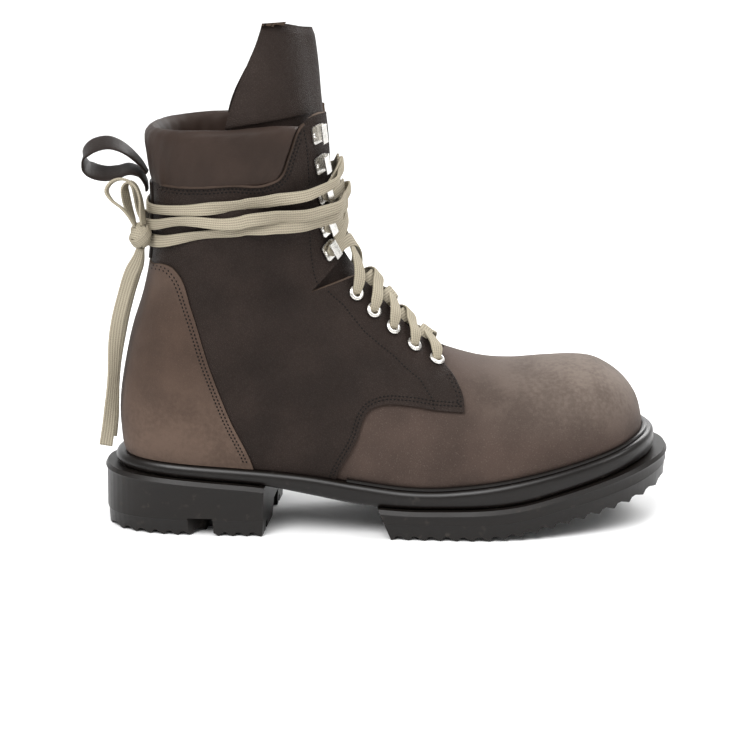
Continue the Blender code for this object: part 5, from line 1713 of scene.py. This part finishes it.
def make_bands(looks):
    turns = np.linspace(-180, 180, 260, endpoint=False)
    for number, table in enumerate(BANDS):
        table = np.array(table)
        rows = curve_value(table[:, 0], table[:, 1], np.abs(turns))
        beside = eased(1 - np.abs(np.abs(turns) - 90) / 80)
        ripple = band_ripple * np.sin(np.radians(turns) * 5 + number * 2.1) * beside
        offsets = np.array([band_offset(abs(turn), number) for turn in turns])
        for _ in range(5):
            offsets = (np.roll(offsets, 1) + offsets * 2 + np.roll(offsets, -1)) / 4
        points = form_shell_point(rows + ripple, np.radians(turns), offsets)
        normals = form_shell_point(rows, np.radians(turns), offsets + 0.001) - points
        run = np.roll(points, -1, 0) - np.roll(points, 1, 0)
        roll = 1 - 0.18 * np.sin(np.radians(turns) * 3 + number)
        name = "lace_band_%d" % (number + 1)
        widths = lace_width * 0.80 * roll
        band = flat_strip(name + "_weave", points, np.cross(run, normals), widths, lace_thickness, True)
        dress(band, looks, ("lace",), (name,))


def make_knot(looks):
    """The bow's knot: a gathered core with turns of lace drawn round it."""
    core = []
    for step in range(1, 16):
        angle = math.pi * step / 16 - math.pi / 2
        ring = []
        for k in range(28):
            turn = 2 * math.pi * k / 28
            ring.append((
                KNOT_AT[0] + KNOT_CORE[0] * math.cos(angle) * math.cos(turn),
                KNOT_AT[1] + KNOT_CORE[1] * math.cos(angle) * math.sin(turn),
                KNOT_AT[2] + KNOT_CORE[2] * math.sin(angle),
            ))
        core.append(ring)
    things = [add_object("core", *loft(core))]
    for tilt, lean, size, wide in KNOT_TURNS:
        points, across = [], []
        for k in range(48):
            angle = 2 * math.pi * k / 48
            a, b = math.cos(angle), math.sin(angle)
            axis = np.array([math.sin(tilt) * 0.6, math.sin(lean), math.cos(tilt)])
            axis /= np.linalg.norm(axis)
            u = np.cross(axis, (0.0, 1.0, 0.2))
            u /= np.linalg.norm(u)
            v = np.cross(axis, u)
            way = u * a + v * b
            points.append(np.array(KNOT_AT) + way * np.array(KNOT_REACH) * size)
            across.append(axis)
        things.append(flat_strip("turn", points, across, wide, knot_turn_thickness, True))
    knot = joined("lace_knot_turns", things)
    dress(knot, looks, ("lace",), ("lace_knot",))


def make_free_laces(looks):
    """The bow's two loops, seen on edge, and its two hanging ends."""
    for node, route, wide, twist, far_end in FREE_LACES:
        points = smooth_route(route, LACE_STEP)
        run = np.gradient(points, axis=0)
        run /= np.linalg.norm(run, axis=1, keepdims=True)
        share = np.linspace(0, 1, len(points))
        across = np.repeat(np.array([wide], float), len(points), 0)
        across -= run * (across * run).sum(1, keepdims=True)
        across /= np.linalg.norm(across, axis=1, keepdims=True)
        angle = twist * np.sin(share * math.pi * 2.2)[:, None]
        across = across * np.cos(angle) + np.cross(run, across) * np.sin(angle)
        opened = eased(share * 9) * (eased((1 - share) * 9) if far_end == "object" else 1)
        widths = lace_width * (0.62 + 0.38 * opened)
        lace = flat_strip(node + "_weave", points, across, widths * 0.93, lace_thickness)
        dress(lace, looks, ("lace",), (node,))


def make_camera():
    camera = bpy.data.objects.new("camera", bpy.data.cameras.new("camera"))
    bpy.context.scene.collection.objects.link(camera)
    camera.location = CAMERA_AT
    camera.rotation_euler = [math.radians(angle) for angle in CAMERA_TURN]
    camera.data.lens = camera_lens
    camera.data.sensor_width = camera_sensor
    bpy.context.scene.camera = camera


def area_light(name, place, target, size, power):
    light = bpy.data.lights.new(name, "AREA")
    light.shape = "SQUARE"
    light.size = size
    light.energy = power
    thing = bpy.data.objects.new(name, light)
    bpy.context.scene.collection.objects.link(thing)
    thing.location = place
    thing.rotation_euler = (Vector(target) - Vector(place)).to_track_quat("-Z", "Y").to_euler()


def make_studio():
    world = bpy.data.worlds.new("studio")
    bpy.context.scene.world = world
    world.use_nodes = True
    world.node_tree.nodes["Background"].inputs["Color"].default_value = (1, 1, 1, 1)
    world.node_tree.nodes["Background"].inputs["Strength"].default_value = sky_power
    reach, back, rise = 5.0, 1.6, 4.0
    sweep = [(-3.0, 0.0), (back, 0.0)]
    for step in range(1, 13):
        angle = math.pi / 2 * step / 12
        sweep.append((back + math.sin(angle), 1 - math.cos(angle)))
    sweep.append((back + 1.0, rise))
    points = [(side * reach, y, z) for y, z in sweep for side in (-1, 1)]
    faces = [(2 * k, 2 * k + 1, 2 * k + 3, 2 * k + 2) for k in range(len(sweep) - 1)]
    mesh = bpy.data.meshes.new("floor")
    mesh.from_pydata(points, [], faces)
    mesh.shade_smooth()
    floor = bpy.data.objects.new("floor", mesh)
    bpy.context.scene.collection.objects.link(floor)
    pale = Look("pale_floor", 0.9)
    pale.set(base_color=pale.mixed(pale.noise(2.0, 3.0) * 0.1, (0.88, 0.88, 0.88), (0.86, 0.86, 0.86)))
    mesh.materials.append(pale.material)
    sun = bpy.data.lights.new("overhead", "SUN")
    sun.energy = sun_power
    sun.angle = math.radians(sun_spread)
    overhead = bpy.data.objects.new("overhead", sun)
    overhead.rotation_euler = [math.radians(angle) for angle in SUN_TURN]
    bpy.context.scene.collection.objects.link(overhead)
    for name, *values in LIGHTS:
        area_light(name, *values)
    bpy.context.scene.view_settings.view_transform = "Standard"


def main():
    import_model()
    make_camera()
    looks = make_looks()
    make_knot(looks)
    make_free_laces(looks)
    feather = feather_outline(0.0)
    make_soles(looks, feather)
    make_welt_and_insole(looks, feather)
    edges = panel_edges()
    floor = floor_cutter()
    throat = throat_cutter()
    notch = cutter("notch", *prism(side_points(NOTCH), ball_width))
    above = collar_cutter("above_collar_line", edges["collar"], True, (0, 0))
    below = collar_cutter("below_collar_line", edges["collar"], False, (-gap, gap))
    holes = make_eyelets(looks)
    leather_cuts = (floor, above, throat, notch, holes)
    make_upper(looks, leather_cuts)
    make_quarters(looks, leather_cuts, edges)
    make_counter(looks, floor, edges)
    make_collar(looks, below)
    make_seam(looks, edges)
    make_stitches(looks, edges)
    make_tongue(looks)
    make_straps(looks)
    make_hooks(looks)
    make_lacing(looks)
    make_bands(looks)
    for guide in GUIDES:
        bpy.data.objects.remove(guide, do_unlink=True)
    make_studio()


main()
